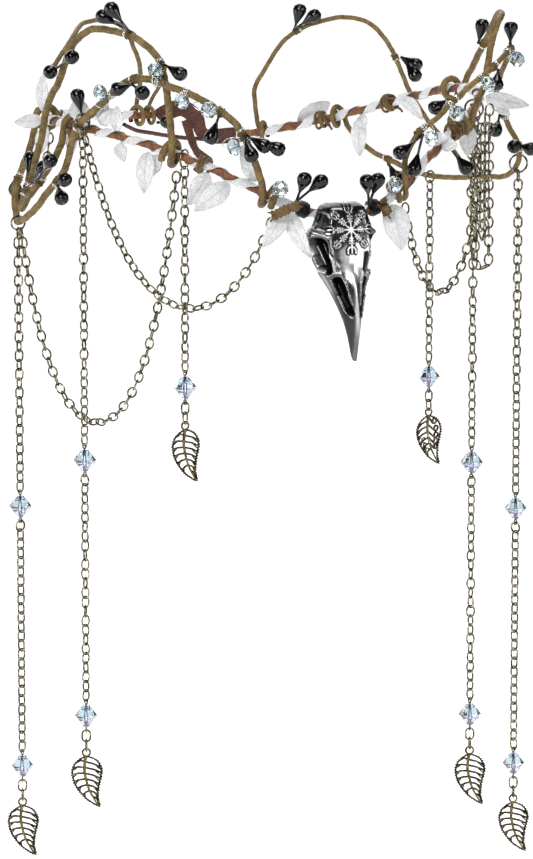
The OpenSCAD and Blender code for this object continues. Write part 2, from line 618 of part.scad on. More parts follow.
// Ribbed ribbon knotted between the hoop's two ends
tie_path = [
  [-171.5, -1, -12], [-174, -3, -9.5], [-178, -5, -8], [-182, -6, -12], [-184, -5, -18],
  [-187, -4, -20], [-192, -2, -20], [-194.5, -1, -20]
];
tie_tail = [[-179, -5.5, -13], [-180, -7.5, -20], [-182, -8.5, -26], [-186, -8, -30]];
module tie_ribbon() {
  color("sienna") {
    sweep(route(tie_path), [[-4.5, -0.6], [4.5, -0.6], [4.5, 0.6], [-4.5, 0.6]], [0, 0, 1]);
    sweep(route(tie_tail), [[-2, -0.5], [2, -0.5], [2, 0.5], [-2, 0.5]], [1, 0, 0]);
  }
}
lace_path = [
  [-161, 1, -13.9], [-165.5, 1.5, -16.8], [-170, 1, -18.2], [-175, -1, -19.6], [-180, -2.8, -20.6],
  [-187, -1.8, -21.5], [-190.5, -0.5, -22], [-194, 1.2, -22.4], [-199, 3.6, -22.2]
];
module tie_lace() {
  color("saddlebrown") tube(route(lace_path), 0.9);
}

// One open oval link of round wire, its length along Z
module link() {
  bend_r = (link_w - link_wire) / 2;
  straight = link_l - link_w;
  for (end = [-1, 1])
    translate([0, 0, end * straight / 2])
      rotate([90, end > 0 ? 0 : 180, 0])
        rotate_extrude(angle = 180, $fn = 24) translate([bend_r, 0]) circle(d = link_wire, $fn = 14);
  for (side = [-1, 1])
    translate([side * bend_r, 0, -straight / 2]) cylinder(d = link_wire, h = straight, $fn = 14);
}
// A straight run of links below a height, each turned a little over or under a quarter
module links(d, z, n, turn, step) {
  color("darkkhaki")
    translate([drop_xy(d).x, drop_xy(d).y, 0])
      for (i = [0:n - 1])
        translate([0, 0, z - i * link_pitch])
          rotate(turn + step * i)
            link();
}
// The same run as one plain cord of the links' width
module chain_cord(d, top, bottom) {
  color("darkkhaki")
    translate([drop_xy(d).x, drop_xy(d).y, bottom])
      cylinder(r = cord_chain_r, h = top - bottom, $fn = 16);
}
module upper_links(name) {
  d = drop_row(name);
  links(d, first_link_z(d), d[5], first_turn(d), 90 + twist(d));
}
module lower_links(name) {
  d = drop_row(name);
  links(d, low_link_z(d), d[6], low_turn(d) - 90 * d[6], 90);
  charm_links(d);
}
module charm_links(d) {
  links(d, end_link_z(d), d[7], charm_turn(d) + 90 * d[7], 90);
}
module upper_cord(name) {
  d = drop_row(name);
  chain_cord(d, hang_z(d) - hang_ring_r(d) - ring_wire / 2 - gap, last_link_z(d) - 1);
}
module lower_cord(name) {
  d = drop_row(name);
  chain_cord(d, ring_z(d) - ring_r - ring_wire / 2 - gap, low_last_z(d) - 1);
}
module short_links() {
  for (name = ["left_inner", "left_mid", "right_inner", "right_mid"]) charm_links(drop_row(name));
}
module swag(q, n, rise = []) {
  color("darkkhaki")
    tube(concat(swag_path(q[0], q[1], q[2], n), [for (r = rise) spot(r)]), cord_chain_r);
}
module chain_loop(q) {
  color("darkkhaki") tube(loop_path(q[0], q[1], q[2], 8), cord_chain_r);
}
left_short = [[-104, -1, -5], [-104.4, -0.6, -12], [-105, 0, -18], [-105.4, 0.6, -24]];
module chain_left_short() {
  color("darkkhaki") tube(route(left_short, 1), cord_chain_r);
}

// Rings that the chains hang from, and the round ring below each upper bead
module rings() {
  color("darkkhaki")
    for (d = drops) {
      translate([drop_xy(d).x, drop_xy(d).y, hang_z(d)])
        rotate([90, 0, first_turn(d) + 90])
          torus(hang_ring_r(d), ring_wire);
      if (d[6] > 0)
        translate([drop_xy(d).x, drop_xy(d).y, ring_z(d)])
          rotate([90, 0, link_turn(d, d[5] - 1)])
            torus(ring_r, ring_wire);
    }
}

// A wire through a bead with a round eye at each end
module pins() {
  color("darkkhaki")
    for (d = drops) {
      upper_turn = link_turn(d, d[5] - 1) + 90;
      end_turn = charm_turn(d) + 90 * (d[7] + 1);
      pin(d, bead_z(d), upper_turn, d[6] > 0 ? upper_turn : end_turn);
      if (d[6] > 0) pin(d, low_bead_z(d), low_turn(d), end_turn);
    }
}
module pin(d, z, upper_turn, lower_turn) {
  translate([drop_xy(d).x, drop_xy(d).y, z]) {
    cylinder(d = loop_wire, h = 2 * (bead_to_eye - loop_r), center = true, $fn = 16);
    translate([0, 0, bead_to_eye]) rotate([90, 0, upper_turn]) torus(loop_r, loop_wire);
    translate([0, 0, -bead_to_eye]) rotate([90, 0, lower_turn]) torus(loop_r, loop_wire);
  }
}
module bicones() {
  color("lightskyblue")
    for (d = drops, z = d[6] > 0 ? [bead_z(d), low_bead_z(d)] : [bead_z(d)])
      translate([drop_xy(d).x, drop_xy(d).y, z])
        cut_bead(bicone_d, bicone_h, 0.5, 2.4, 1);
}

// Pierced leaf charm in its own plane, hung from its loop at the origin
charm_rim = 0.9;
charm_rib = 0.5;
vein = 0.45;
vein_pitch = 2.35;
vein_slope = 0.45;
module charm_outline() {
  polygon(concat(
    [for (q = charm_rows) [q[1], -q[0]]],
    [for (i = [len(charm_rows) - 1:-1:0]) [charm_rows[i][3], -charm_rows[i][0]]]));
}
// The midrib, from its left edge to its right
module charm_midrib() {
  polygon(concat(
    [for (q = charm_rows) [q[2] - 0.35, -q[0]]],
    [for (i = [len(charm_rows) - 1:-1:0]) [charm_rows[i][2] + 0.35, -charm_rows[i][0]]]));
}
// The open part of one half, between rim and midrib, less its slanted veins
module charm_windows(side) {
  edge = side < 0 ? 1 : 3;
  open = [for (q = charm_rows) if (side * (q[edge] - q[2]) > charm_rim + charm_rib + 0.3) q];
  difference() {
    polygon(concat(
      [for (q = open) [q[2] + side * charm_rib, -q[0]]],
      [for (i = [len(open) - 1:-1:0]) [open[i][edge] - side * charm_rim, -open[i][0]]]));
    for (i = [1:7])
      polygon([for (q = [[-1, 0], [9, 0], [9, vein], [-1, vein]])
        [side * q.x, -i * vein_pitch - q.y - vein_slope * q.x]]);
  }
}
module charm(name) {
  d = drop_row(name);
  color("darkgoldenrod")
    translate([drop_xy(d).x, drop_xy(d).y, charm_z(d)])
      rotate([90, 0, charm_turn(d)])
        scale(charm_l / 20.2) {
          torus(charm_loop_r, charm_loop_wire);
          translate([0, -charm_loop_r, 0]) {
            linear_extrude(charm_t, center = true)
              difference() {
                charm_outline();
                charm_windows(-1);
                charm_windows(1);
              }
            translate([0, 0, charm_t / 2 - 0.1]) linear_extrude(0.6) charm_midrib();
          }
        }
}

hoop();
leaf_ribbon();
leaves(left_leaves);  // leaves_left
leaves(front_leaves);  // leaves_front
leaves(right_leaves);  // leaves_right
leaves(back_leaves);  // leaves_back
vine_left_long();
vine_left_tall();
vine_left_rear();
vine_left_twig();
vine_back_arch();
vine_right_long();
vine_right_tall();
bindings();
berries(left_berries);  // berries_left
berries(low_berries);  // berries_left_low
berries(front_berries);  // berries_front
berries(right_berries);  // berries_right
berries(back_berries);  // berries_back
glass(left_glass);  // glass_left
glass(right_glass);  // glass_right
skull();
temple_lashings();
cut_stubs();
tie_ribbon();
tie_lace();
upper_links("left_outer");  // chain_left_outer
lower_links("left_outer");  // chain_left_outer_low
upper_links("right_outer");  // chain_right_outer
lower_links("right_outer");  // chain_right_outer_low
upper_cord("left_inner");  // chain_left_inner
lower_cord("left_inner");  // chain_left_inner_low
upper_cord("right_inner");  // chain_right_inner
lower_cord("right_inner");  // chain_right_inner_low
upper_cord("left_mid");  // chain_left_mid
upper_cord("right_mid");  // chain_right_mid
swag(swag_left, 22);  // chain_swag_left
swag(swag_front, 16);  // chain_swag_front
swag(swag_right, 16, swag_right_rise);  // chain_swag_right
chain_loop(loop_right);  // chain_loop_right
chain_left_short();
short_links();  // charm_links
rings();
pins();
bicones();
charm("left_outer");  // charm_left_outer
charm("left_inner");  // charm_left_inner
charm("left_mid");  // charm_left_mid
charm("right_outer");  // charm_right_outer
charm("right_inner");  // charm_right_inner
charm("right_mid");  // charm_right_mid
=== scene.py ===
# Elf crown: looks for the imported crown, in metres, the skull at the front (-Y).
import math

import bmesh
import bpy
from mathutils import Matrix, Vector, noise


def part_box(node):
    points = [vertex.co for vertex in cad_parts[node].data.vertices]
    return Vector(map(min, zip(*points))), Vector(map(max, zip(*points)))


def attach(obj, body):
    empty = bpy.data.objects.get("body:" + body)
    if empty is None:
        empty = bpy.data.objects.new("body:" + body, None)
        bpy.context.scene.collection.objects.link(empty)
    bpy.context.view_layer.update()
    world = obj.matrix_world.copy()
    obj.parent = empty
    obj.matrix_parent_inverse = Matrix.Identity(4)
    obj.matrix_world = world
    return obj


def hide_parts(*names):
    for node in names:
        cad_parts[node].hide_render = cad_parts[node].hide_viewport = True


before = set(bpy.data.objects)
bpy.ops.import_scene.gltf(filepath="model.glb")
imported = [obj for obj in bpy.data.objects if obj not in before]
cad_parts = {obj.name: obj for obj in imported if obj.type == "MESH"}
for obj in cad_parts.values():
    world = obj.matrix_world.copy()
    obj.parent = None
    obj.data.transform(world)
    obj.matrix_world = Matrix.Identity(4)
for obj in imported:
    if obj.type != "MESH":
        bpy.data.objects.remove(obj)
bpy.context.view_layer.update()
mm = 0.001
turnAll = 2 * math.pi
viewTurn = -20  # the side that the photograph is taken from, in degrees
up = Vector((0, 0, 1))
xAxis, yAxis = Vector((1, 0, 0)), Vector((0, 1, 0))


# Node materials

def newMaterial(name):
    material = bpy.data.materials.new(name)
    material.use_nodes = True
    return material, material.node_tree


# A socket takes another node's output, a colour of three parts, or a plain value
def feed(tree, socket, value):
    if hasattr(value, "links"):
        tree.links.new(value, socket)
    elif socket.type == "RGBA":
        socket.default_value = (*value, 1)
    else:
        socket.default_value = value


def addNode(tree, kind, sockets=None, **settings):
    node = tree.nodes.new("ShaderNode" + kind)
    for key, value in settings.items():
        setattr(node, key, value)
    for key, value in (sockets or {}).items():
        feed(tree, node.inputs[key], value)
    return node


def objectSpace(tree):
    return addNode(tree, "TexCoord").outputs["Object"]


# The pieces' attribute, from 0 to 1: where tape ends, where veins run and how deep a recess lies. It carries painted
# shade at tape edges, rib grooves, the charms' rims and the skull's recesses, and painted highlight on the skull
def wrapValue(tree):
    return addNode(tree, "Attribute", attribute_name="wrap").outputs["Fac"]


def uvSpace(tree, scale, turn=0.0):
    uv = addNode(tree, "UVMap", uv_map="UVMap").outputs["UV"]
    size = [1 / part for part in scale]
    mapping = addNode(tree, "Mapping", {"Vector": uv, "Scale": size, "Rotation": (0, 0, turn)}, vector_type="TEXTURE")
    return mapping.outputs["Vector"]


def noiseOf(tree, space, scale, detail=3.0, rough=0.55):
    sockets = {"Vector": space, "Scale": scale, "Detail": detail, "Roughness": rough}
    return addNode(tree, "TexNoise", sockets).outputs["Fac"]


def ramp(tree, factor, stops):
    node = addNode(tree, "ValToRGB", {"Fac": factor})
    points = node.color_ramp.elements
    while len(points) < len(stops):
        points.new(0.5)
    for point, (place, colour) in zip(points, stops):
        point.position = place
        point.color = (*colour, 1) if hasattr(colour, "__len__") else (colour, colour, colour, 1)
    return node.outputs["Color"]


def mixOf(tree, factor, a, b, blend="MIX"):
    node = addNode(tree, "Mix", data_type="RGBA", blend_type=blend)
    for socket, value in zip((0, 6, 7), (factor, a, b)):
        feed(tree, node.inputs[socket], value)
    return node.outputs[2]


def bumpOf(tree, height, distance, strength=1.0, normal=None):
    sockets = {"Height": height, "Distance": distance, "Strength": strength}
    if normal:
        sockets["Normal"] = normal
    return addNode(tree, "Bump", sockets).outputs["Normal"]


# Feeds a material's shader: sockets by short names, or by their own with underscores for blanks
def dress(material, **sockets):
    names = {"colour": "Base Color", "rough": "Roughness", "normal": "Normal", "metal": "Metallic"}
    tree = material.node_tree
    for key, value in sockets.items():
        feed(tree, tree.nodes["Principled BSDF"].inputs[names.get(key, key.replace("_", " "))], value)
    return material


# Paper tape or covered cord wound round a wire: mottled, streaked along the tape, with painted shade at its edge where
# one turn steps onto the next
def wrappedMaterial(name, dark, middle, light, rough):
    material, tree = newMaterial(name)
    streaks = noiseOf(tree, uvSpace(tree, (1.5, 22, 1), 0.99), 1.0, 4)
    blotches = noiseOf(tree, objectSpace(tree), 170, 3)
    base = mixOf(tree, 0.35, ramp(tree, streaks, [(0.32, dark), (0.47, middle), (0.68, light)]),
                 ramp(tree, blotches, [(0.3, dark), (0.48, middle), (0.75, light)]))
    # Painted shade: darker where one turn of tape steps onto the next, and in the grooves between ribs
    edge = ramp(tree, wrapValue(tree), [(0.0, 0.28), (0.12, 0.9), (0.75, 1.1), (1.0, 0.45)])
    colour = mixOf(tree, 1.0, base, edge, "MULTIPLY")
    return dress(material, colour=colour, rough=rough, normal=bumpOf(tree, streaks, 0.00025, 0.8),
                 Specular_IOR_Level=0.3)


def glitterMaterial(name):
    material, tree = newMaterial(name)
    space = objectSpace(tree)
    flakes = addNode(tree, "TexVoronoi", {"Vector": space, "Scale": 3400.0})
    spark = ramp(tree, flakes.outputs["Color"], [(0.2, 0.58), (0.45, 0.96), (0.8, 1.0)])
    weave = {"Vector": uvSpace(tree, (3, 16, 1)), "Scale": 1.0, "Distortion": 5.0, "Detail": 3.0, "Detail Scale": 2.0}
    threads = addNode(tree, "TexWave", weave, bands_direction="Y").outputs["Fac"]
    body = ramp(tree, threads, [(0.02, (0.5, 0.51, 0.53)), (0.2, (0.9, 0.91, 0.93)), (0.6, (1.0, 1.0, 1.0))])
    colour = mixOf(tree, 0.75, body, spark, "MULTIPLY")
    colour = mixOf(tree, 1.0, colour, ramp(tree, wrapValue(tree), [(0.0, 1.0), (1.0, 0.8)]), "MULTIPLY")
    rough = ramp(tree, flakes.outputs["Distance"], [(0.0, 0.25), (0.6, 0.6)])
    normal = bumpOf(tree, flakes.outputs["Color"], 0.00012, 0.8, bumpOf(tree, threads, 0.0002, 0.7))
    return dress(material, colour=colour, rough=rough, normal=normal, Sheen_Weight=0.3)


def metalMaterial(name, dark, middle, light, rough, grain):
    material, tree = newMaterial(name)
    space = objectSpace(tree)
    tarnish = noiseOf(tree, space, grain, 4, 0.6)
    colour = ramp(tree, tarnish, [(0.3, dark), (0.48, middle), (0.7, light)])
    # Painted shade: a high attribute darkens the colour; the charms' rims are painted dark between their bright dots,
    # veins and curls less so
    colour = mixOf(tree, 1.0, colour, ramp(tree, wrapValue(tree), [(0.0, 1.0), (1.0, 0.06)]), "MULTIPLY")
    soft = ramp(tree, noiseOf(tree, space, grain * 2, 2), [(0.3, rough * 0.75), (0.7, rough * 1.35)])
    return dress(material, colour=colour, rough=soft, metal=1.0, normal=bumpOf(tree, tarnish, 0.00006, 0.5))


# Cast metal: painted highlight on the plates and raised lines (0), gunmetal (0.4), painted shade, black, in the
# recesses (1)
def skullMaterial(name):
    material, tree = newMaterial(name)
    space = objectSpace(tree)
    paintedLight = wrapValue(tree)
    clouds = ramp(tree, noiseOf(tree, space, 260, 3), [(0.3, 0.7), (0.7, 1.0)])
    tone = ramp(tree, paintedLight, [(0.0, 0.8), (0.2, 0.36), (0.42, 0.12), (0.7, 0.03), (1.0, 0.003)])
    colour = mixOf(tree, 1.0, tone, clouds, "MULTIPLY")
    rough = ramp(tree, paintedLight, [(0.0, 0.34), (0.4, 0.17), (1.0, 0.6)])
    polish = ramp(tree, paintedLight, [(0.6, 1.0), (0.95, 0.0)])
    shine = ramp(tree, paintedLight, [(0.6, 0.4), (0.9, 0.0)])
    normal = bumpOf(tree, noiseOf(tree, space, 900, 4), 0.00005, 0.5)
    return dress(material, colour=colour, rough=rough, metal=polish, normal=normal, Specular_IOR_Level=shine)


def berryMaterial(name):
    material, tree = newMaterial(name)
    runs = noiseOf(tree, objectSpace(tree), 240, 2)
    colour = ramp(tree, runs, [(0.3, (0.0008, 0.0008, 0.001)), (0.7, (0.003, 0.003, 0.004))])
    rough = ramp(tree, runs, [(0.3, 0.05), (0.7, 0.1)])
    return dress(material, colour=colour, rough=rough, normal=bumpOf(tree, runs, 0.0002, 0.5), IOR=1.36,
                 Coat_Weight=0.12, Coat_Roughness=0.02)


def glassMaterial(name, tint, film):
    material, tree = newMaterial(name)
    ripple = noiseOf(tree, objectSpace(tree), 300, 1)
    return dress(material, colour=tint, rough=0.02, normal=bumpOf(tree, ripple, 0.00005, 0.3), IOR=1.55,
                 Transmission_Weight=1.0, Coat_Weight=0.3, Coat_Roughness=0.02, Thin_Film_Thickness=film,
                 Thin_Film_IOR=1.7)


def threadMaterial(name, dark, light, scale, turn, rough):
    material, tree = newMaterial(name)
    strands = addNode(tree, "TexWave", {"Vector": uvSpace(tree, scale, turn), "Scale": 1.0, "Distortion": 1.2},
                      bands_direction="X").outputs["Fac"]
    colour = ramp(tree, strands, [(0.1, dark), (0.8, light)])
    return dress(material, colour=colour, rough=rough, normal=bumpOf(tree, strands, 0.0003, 0.8))


materials = {
    "vine": wrappedMaterial("vinePaper", (0.014, 0.008, 0.002), (0.11, 0.07, 0.019), (0.26, 0.18, 0.062), 0.55),
    "cord": wrappedMaterial("hoopCord", (0.016, 0.006, 0.002), (0.135, 0.048, 0.016), (0.3, 0.13, 0.05), 0.5),
    "raffia": wrappedMaterial("oliveTape", (0.008, 0.004, 0.001), (0.085, 0.053, 0.014), (0.24, 0.155, 0.05), 0.6),
    "brownRibbon": wrappedMaterial("ribbedRibbon", (0.008, 0.002, 0.001), (0.055, 0.017, 0.009),
                                   (0.12, 0.042, 0.024), 0.55),
    "glitter": glitterMaterial("glitterMesh"),
    "brass": metalMaterial("antiqueBrass", (0.004, 0.003, 0.002), (0.075, 0.066, 0.038), (0.5, 0.46, 0.32), 0.22, 700),
    "charm": metalMaterial("antiqueBronze", (0.005, 0.004, 0.002), (0.05, 0.04, 0.022), (0.36, 0.3, 0.18), 0.3, 900),
    "rib": metalMaterial("oldGold", (0.02, 0.014, 0.005), (0.11, 0.082, 0.03), (0.24, 0.19, 0.08), 0.34, 520),
    "silver": metalMaterial("silverWire", (0.35, 0.35, 0.34), (0.7, 0.7, 0.68), (0.85, 0.85, 0.83), 0.2, 520),
    "skull": skullMaterial("gunmetal"),
    "berry": berryMaterial("blackLacquer"),
    "clearGlass": glassMaterial("clearCutGlass", (0.42, 0.5, 0.55), 430),
    "beadGlass": glassMaterial("paleBlueCrystal", (0.5, 0.6, 0.7), 520),
    "thread": threadMaterial("blackThread", (0.001, 0.001, 0.001), (0.008, 0.008, 0.008), (24, 1, 1), 0.35, 0.2),
    "lace": threadMaterial("leatherLace", (0.05, 0.016, 0.012), (0.16, 0.06, 0.045), (8, 3, 1), 0.9, 0.6),
}
print("materials", len(materials))


# Shapes and objects

def newShape():
    shape = bmesh.new()
    shape.loops.layers.uv.new("UVMap")
    shape.verts.layers.float.new("wrap")
    return shape


def show(name, data):
    made = bpy.data.objects.new(name, data)
    bpy.context.scene.collection.objects.link(made)
    return made


def meshOf(shape, name, material=None, smooth=True):
    mesh = bpy.data.meshes.new(name)
    shape.to_mesh(mesh)
    shape.free()
    mesh.polygons.foreach_set("use_smooth", [smooth] * len(mesh.polygons))
    if material:
        mesh.materials.append(material)
    return mesh


def addPiece(shape, name, material, nodes, smooth=True):
    piece = show(name, meshOf(shape, name, materials[material], smooth))
    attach(piece, "root")
    if nodes:
        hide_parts(*nodes)
    return piece


# A shape made in millimetres becomes a piece of its own
def finishPiece(shape, name, material, nodes=()):
    bmesh.ops.remove_doubles(shape, verts=shape.verts, dist=0.0005)
    bmesh.ops.recalc_face_normals(shape, faces=shape.faces)
    bmesh.ops.scale(shape, vec=(mm, mm, mm), verts=shape.verts)
    return addPiece(shape, name, material, nodes)


# A node's name without its underscores, and what the piece is of it
def pieceName(node, ending):
    return node.replace("_", "") + ending


def polar(turn, a, b):
    return math.cos(turn) * a + math.sin(turn) * b


# A flat grid laid over the shape that place(u, v) gives, u and v from 0 to 1; UVs in the given lengths
def layGrid(shape, uCount, vCount, place, uvSize=(1, 1), wrapOf=None):
    made = bmesh.ops.create_grid(shape, x_segments=uCount, y_segments=vCount, size=1, calc_uvs=True)["verts"]
    layer = shape.verts.layers.float["wrap"]
    for vert in made:
        u, v = (vert.co.x + 1) / 2, (vert.co.y + 1) / 2
        vert.co = place(u, v)
        if wrapOf:
            vert[layer] = wrapOf(u, v)
    uv = shape.loops.layers.uv["UVMap"]
    for face in {face for vert in made for face in vert.link_faces}:
        for loop in face.loops:
            loop[uv].uv = (loop[uv].uv.x * uvSize[0], loop[uv].uv.y * uvSize[1])
    return made


def pathLength(path):
    return sum((b - a).length for a, b in zip(path, path[1:]))


def evenPath(path, step):
    total = pathLength(path)
    count = max(2, round(total / step))
    made, walked, i = [path[0]], 0.0, 0
    for k in range(1, count):
        want = total * k / count
        while walked + (path[i + 1] - path[i]).length < want:
            walked += (path[i + 1] - path[i]).length
            i += 1
        made.append(path[i].lerp(path[i + 1], (want - walked) / (path[i + 1] - path[i]).length))
    return made + [path[-1]]


def softened(path, passes):
    for _ in range(passes):
        path = [path[0]] + [(a + 2 * b + c) / 4 for a, b, c in zip(path, path[1:], path[2:])] + [path[-1]]
    return path


def frames(path, side):
    last = len(path) - 1
    rows = []
    for i, here in enumerate(path):
        along = (path[min(i + 1, last)] - path[max(i - 1, 0)]).normalized()
        side = (side - along * side.dot(along)).normalized()
        rows.append((here, side, along.cross(side)))
    return rows


# A round tube along a path: radiusOf(distance along in mm, part of a turn) gives its relief, and wrapOf its tone
def layTube(shape, path, radius, sides=12, radiusOf=None, wrapOf=None, side=None):
    if side is None:
        side = xAxis if abs((path[1] - path[0]).normalized().z) > 0.9 else up
    rows = frames(path, side)
    count, length = len(path) - 1, pathLength(path)

    def place(u, v):
        here, a, b = rows[round(u * count)]
        r = radiusOf(u * length, v % 1.0) if radiusOf else radius
        return here + r * polar(turnAll * v, a, b)

    def wrapAt(u, v):
        return wrapOf(u * length, v % 1.0) if callable(wrapOf) else wrapOf

    made = layGrid(shape, count, sides, place, (length / 10, 1), wrapAt if wrapOf else None)
    rim = {edge for vert in made for edge in vert.link_edges if edge.is_boundary}
    bmesh.ops.remove_doubles(shape, verts=made, dist=0.0005)
    bmesh.ops.holes_fill(shape, edges=[edge for edge in rim if edge.is_valid and edge.is_boundary], sides=0)


# A tube of wound tape. Its tape is (pitch, lift, lumps): the radius falls across each turn, steps up by the lift at
# the edge, and swells in lumps, which are read along lumpPath
def layWrapped(shape, path, radius, sides, tape, lumpPath=None):
    pitch, lift, lumps = tape
    lumpPath = lumpPath or path

    def phase(distance, turn):
        return (distance / pitch + turn) % 1.0

    def radiusOf(distance, turn):
        here = lumpPath[min(len(lumpPath) - 1, int(distance * 2))]
        swell = noise.noise(here * 0.35 + Vector((0, 0, turn * 2)))
        return radius * (1 + lift * (0.5 - phase(distance, turn)) + lumps * swell)

    # The phase across each turn also places the painted shade at the tape's edge
    layTube(shape, path, radius, sides, radiusOf, phase)


# A ring of round wire through the directions a and b, which can be drawn out along b to an oval
def layLoop(shape, centre, a, b, radius, wire, sides=8, steps=20, start=0.0, straight=0.0):
    outs = [polar(start + turnAll * i / steps, a, b) for i in range(steps + 1)]
    normal = b.cross(a)

    def place(u, v):
        out = outs[round(u * steps)]
        middle = centre + radius * out + straight * out.dot(b) * b
        return middle + wire / 2 * polar(turnAll * v, out, normal)

    layGrid(shape, steps, sides, place, (steps, 1))


# The same shape as a node of the frame, its triangles joined and its curves shaded smooth up to an angle
def smoothCopy(node, name, material, angle, bevelWidth=0.0):
    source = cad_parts[node]
    shape = bmesh.new()
    shape.from_mesh(source.data)
    bmesh.ops.transform(shape, matrix=source.matrix_world, verts=shape.verts)
    bmesh.ops.remove_doubles(shape, verts=shape.verts, dist=0.000002)
    bmesh.ops.dissolve_limit(shape, angle_limit=math.radians(0.3), verts=shape.verts, edges=shape.edges)
    if bevelWidth:
        sharp = [edge for edge in shape.edges if len(edge.link_faces) == 2 and edge.calc_face_angle() > 0.3]
        bmesh.ops.bevel(shape, geom=sharp, offset=bevelWidth, segments=1, profile=0.5, affect="EDGES", material=-1)
    piece = addPiece(shape, name, material, [node], angle > 0)
    if angle:
        piece.data.set_sharp_from_angle(angle=math.radians(angle))


# The hoop, in millimetres: places round it are (angle from the front, distance outside, height)
hoop = {
    "halfWidth": 83, "halfLength": 92, "cordRadius": 1.4, "ends": (-170, 165), "perDegree": 1.55,
    "rise": [(-165, -11), (-140, -7), (-110, -3), (-80, -1.5), (-55, -4), (-40, -10), (-25, -19), (-10, -31),
             (10, -31), (17, -21), (25, -11.5), (35, -4), (50, 4), (75, 7), (95, 5), (115, -2), (135, -11),
             (160, -20)],
    "tape": (4.2, 0.16, 0.05), "steps": 1100,
}
# The ribbon wound round it, from the cord outwards
ribbon = {
    "width": 6.5, "cutWidth": 4.2, "thickness": 0.25, "pitch": 15, "reach": 1.78, "outer": 2.36, "ripple": 0.16,
    "flare": 0.28, "frill": 0.14, "frills": 23, "ripples": 5, "perDegree": 1.53, "endGap": 3,
}
wrapReach = ribbon["outer"] + 0.15


def spot(place):
    turn = math.radians(place[0])
    return Vector(((hoop["halfWidth"] + place[1]) * math.sin(turn),
                   -(hoop["halfLength"] + place[1]) * math.cos(turn), place[2]))


def lookup(x, rows):
    if x <= rows[0][0]:
        return rows[0][1]
    for (x0, y0), (x1, y1) in zip(rows, rows[1:]):
        if x <= x1:
            return y0 + (y1 - y0) * (x - x0) / (x1 - x0)
    return rows[-1][1]


def hoopHeight(t):
    return sum(lookup(t + shift, hoop["rise"]) for shift in (-8, 0, 8)) / 3


def hoopAt(t):
    return spot((t, 0, hoopHeight(t)))


def hoopAxes(t):
    along = (hoopAt(t + 1) - hoopAt(t - 1)).normalized()
    out = along.cross(up).normalized()
    return along, out, out.cross(along)


def roundHoop(t, turn, r):
    return hoopAt(t) + r * polar(math.radians(turn), *hoopAxes(t)[1:])


# The point at part u of the way from row i to the next, on the smooth curve through all rows
def curvePoint(rows, i, u):
    a, b, c, d = (rows[k] for k in (max(i - 1, 0), i, i + 1, min(i + 2, len(rows) - 1)))
    return (2 * b + (c - a) * u + (2 * a - 5 * b + 4 * c - d) * u * u + (3 * b - a - 3 * c + d) * u ** 3) / 2


# The same by a place along rows of plain numbers
def curveAt(rows, at):
    i = min(int(at), len(rows) - 2)
    return [curvePoint(column, i, at - i) for column in zip(*rows)]


def smoothCurve(rows, count):
    return [curvePoint(rows, i, k / count) for i in range(len(rows) - 1) for k in range(count)] + [rows[-1]]


def smoothRoute(rows):
    return [spot(row) for row in smoothCurve([Vector(row) for row in rows], 8)]


def makeHoop():
    start, end = hoop["ends"]
    path = [hoopAt(start + (end - start) * i / hoop["steps"]) for i in range(hoop["steps"] + 1)]
    shape = newShape()
    layWrapped(shape, path, hoop["cordRadius"], 16, hoop["tape"])
    finishPiece(shape, "hoopCord", "cord", ["hoop"])


def makeRibbon():
    perDegree = ribbon["perDegree"]
    start, end = hoop["ends"][0] + ribbon["endGap"], hoop["ends"][1] - ribbon["endGap"]
    half = ribbon["width"] / 2 / perDegree
    turns = math.floor((end - start) * perDegree / ribbon["pitch"])

    def place(u, v):
        t = start + half + (end - start - 2 * half) * u
        across = 2 * v - 1
        frill = 1 - ribbon["frill"] * (0.5 + 0.5 * math.sin(u * turns * ribbon["frills"])) * abs(across) ** 3
        wave = noise.noise(Vector((u * turns * ribbon["ripples"], across * 1.5, 3)))
        reach = ribbon["reach"] + ribbon["ripple"] * wave + ribbon["flare"] * abs(across) ** 4
        return roundHoop(t + across * half * frill, 360 * turns * u, reach)

    shape = newShape()
    length = pathLength([place(i / 600, 0.5) for i in range(601)])
    layGrid(shape, turns * 40, 8, place, (length / 10, ribbon["width"] / 10))
    piece = finishPiece(shape, "windingRibbon", "glitter", ["leaf_ribbon"])
    thicken(piece, ribbon["thickness"])


def thicken(piece, thickness):
    solid = piece.modifiers.new("thickness", "SOLIDIFY")
    solid.thickness = thickness * mm
    solid.offset = 0


makeHoop()
makeRibbon()
print("hoop and ribbon")


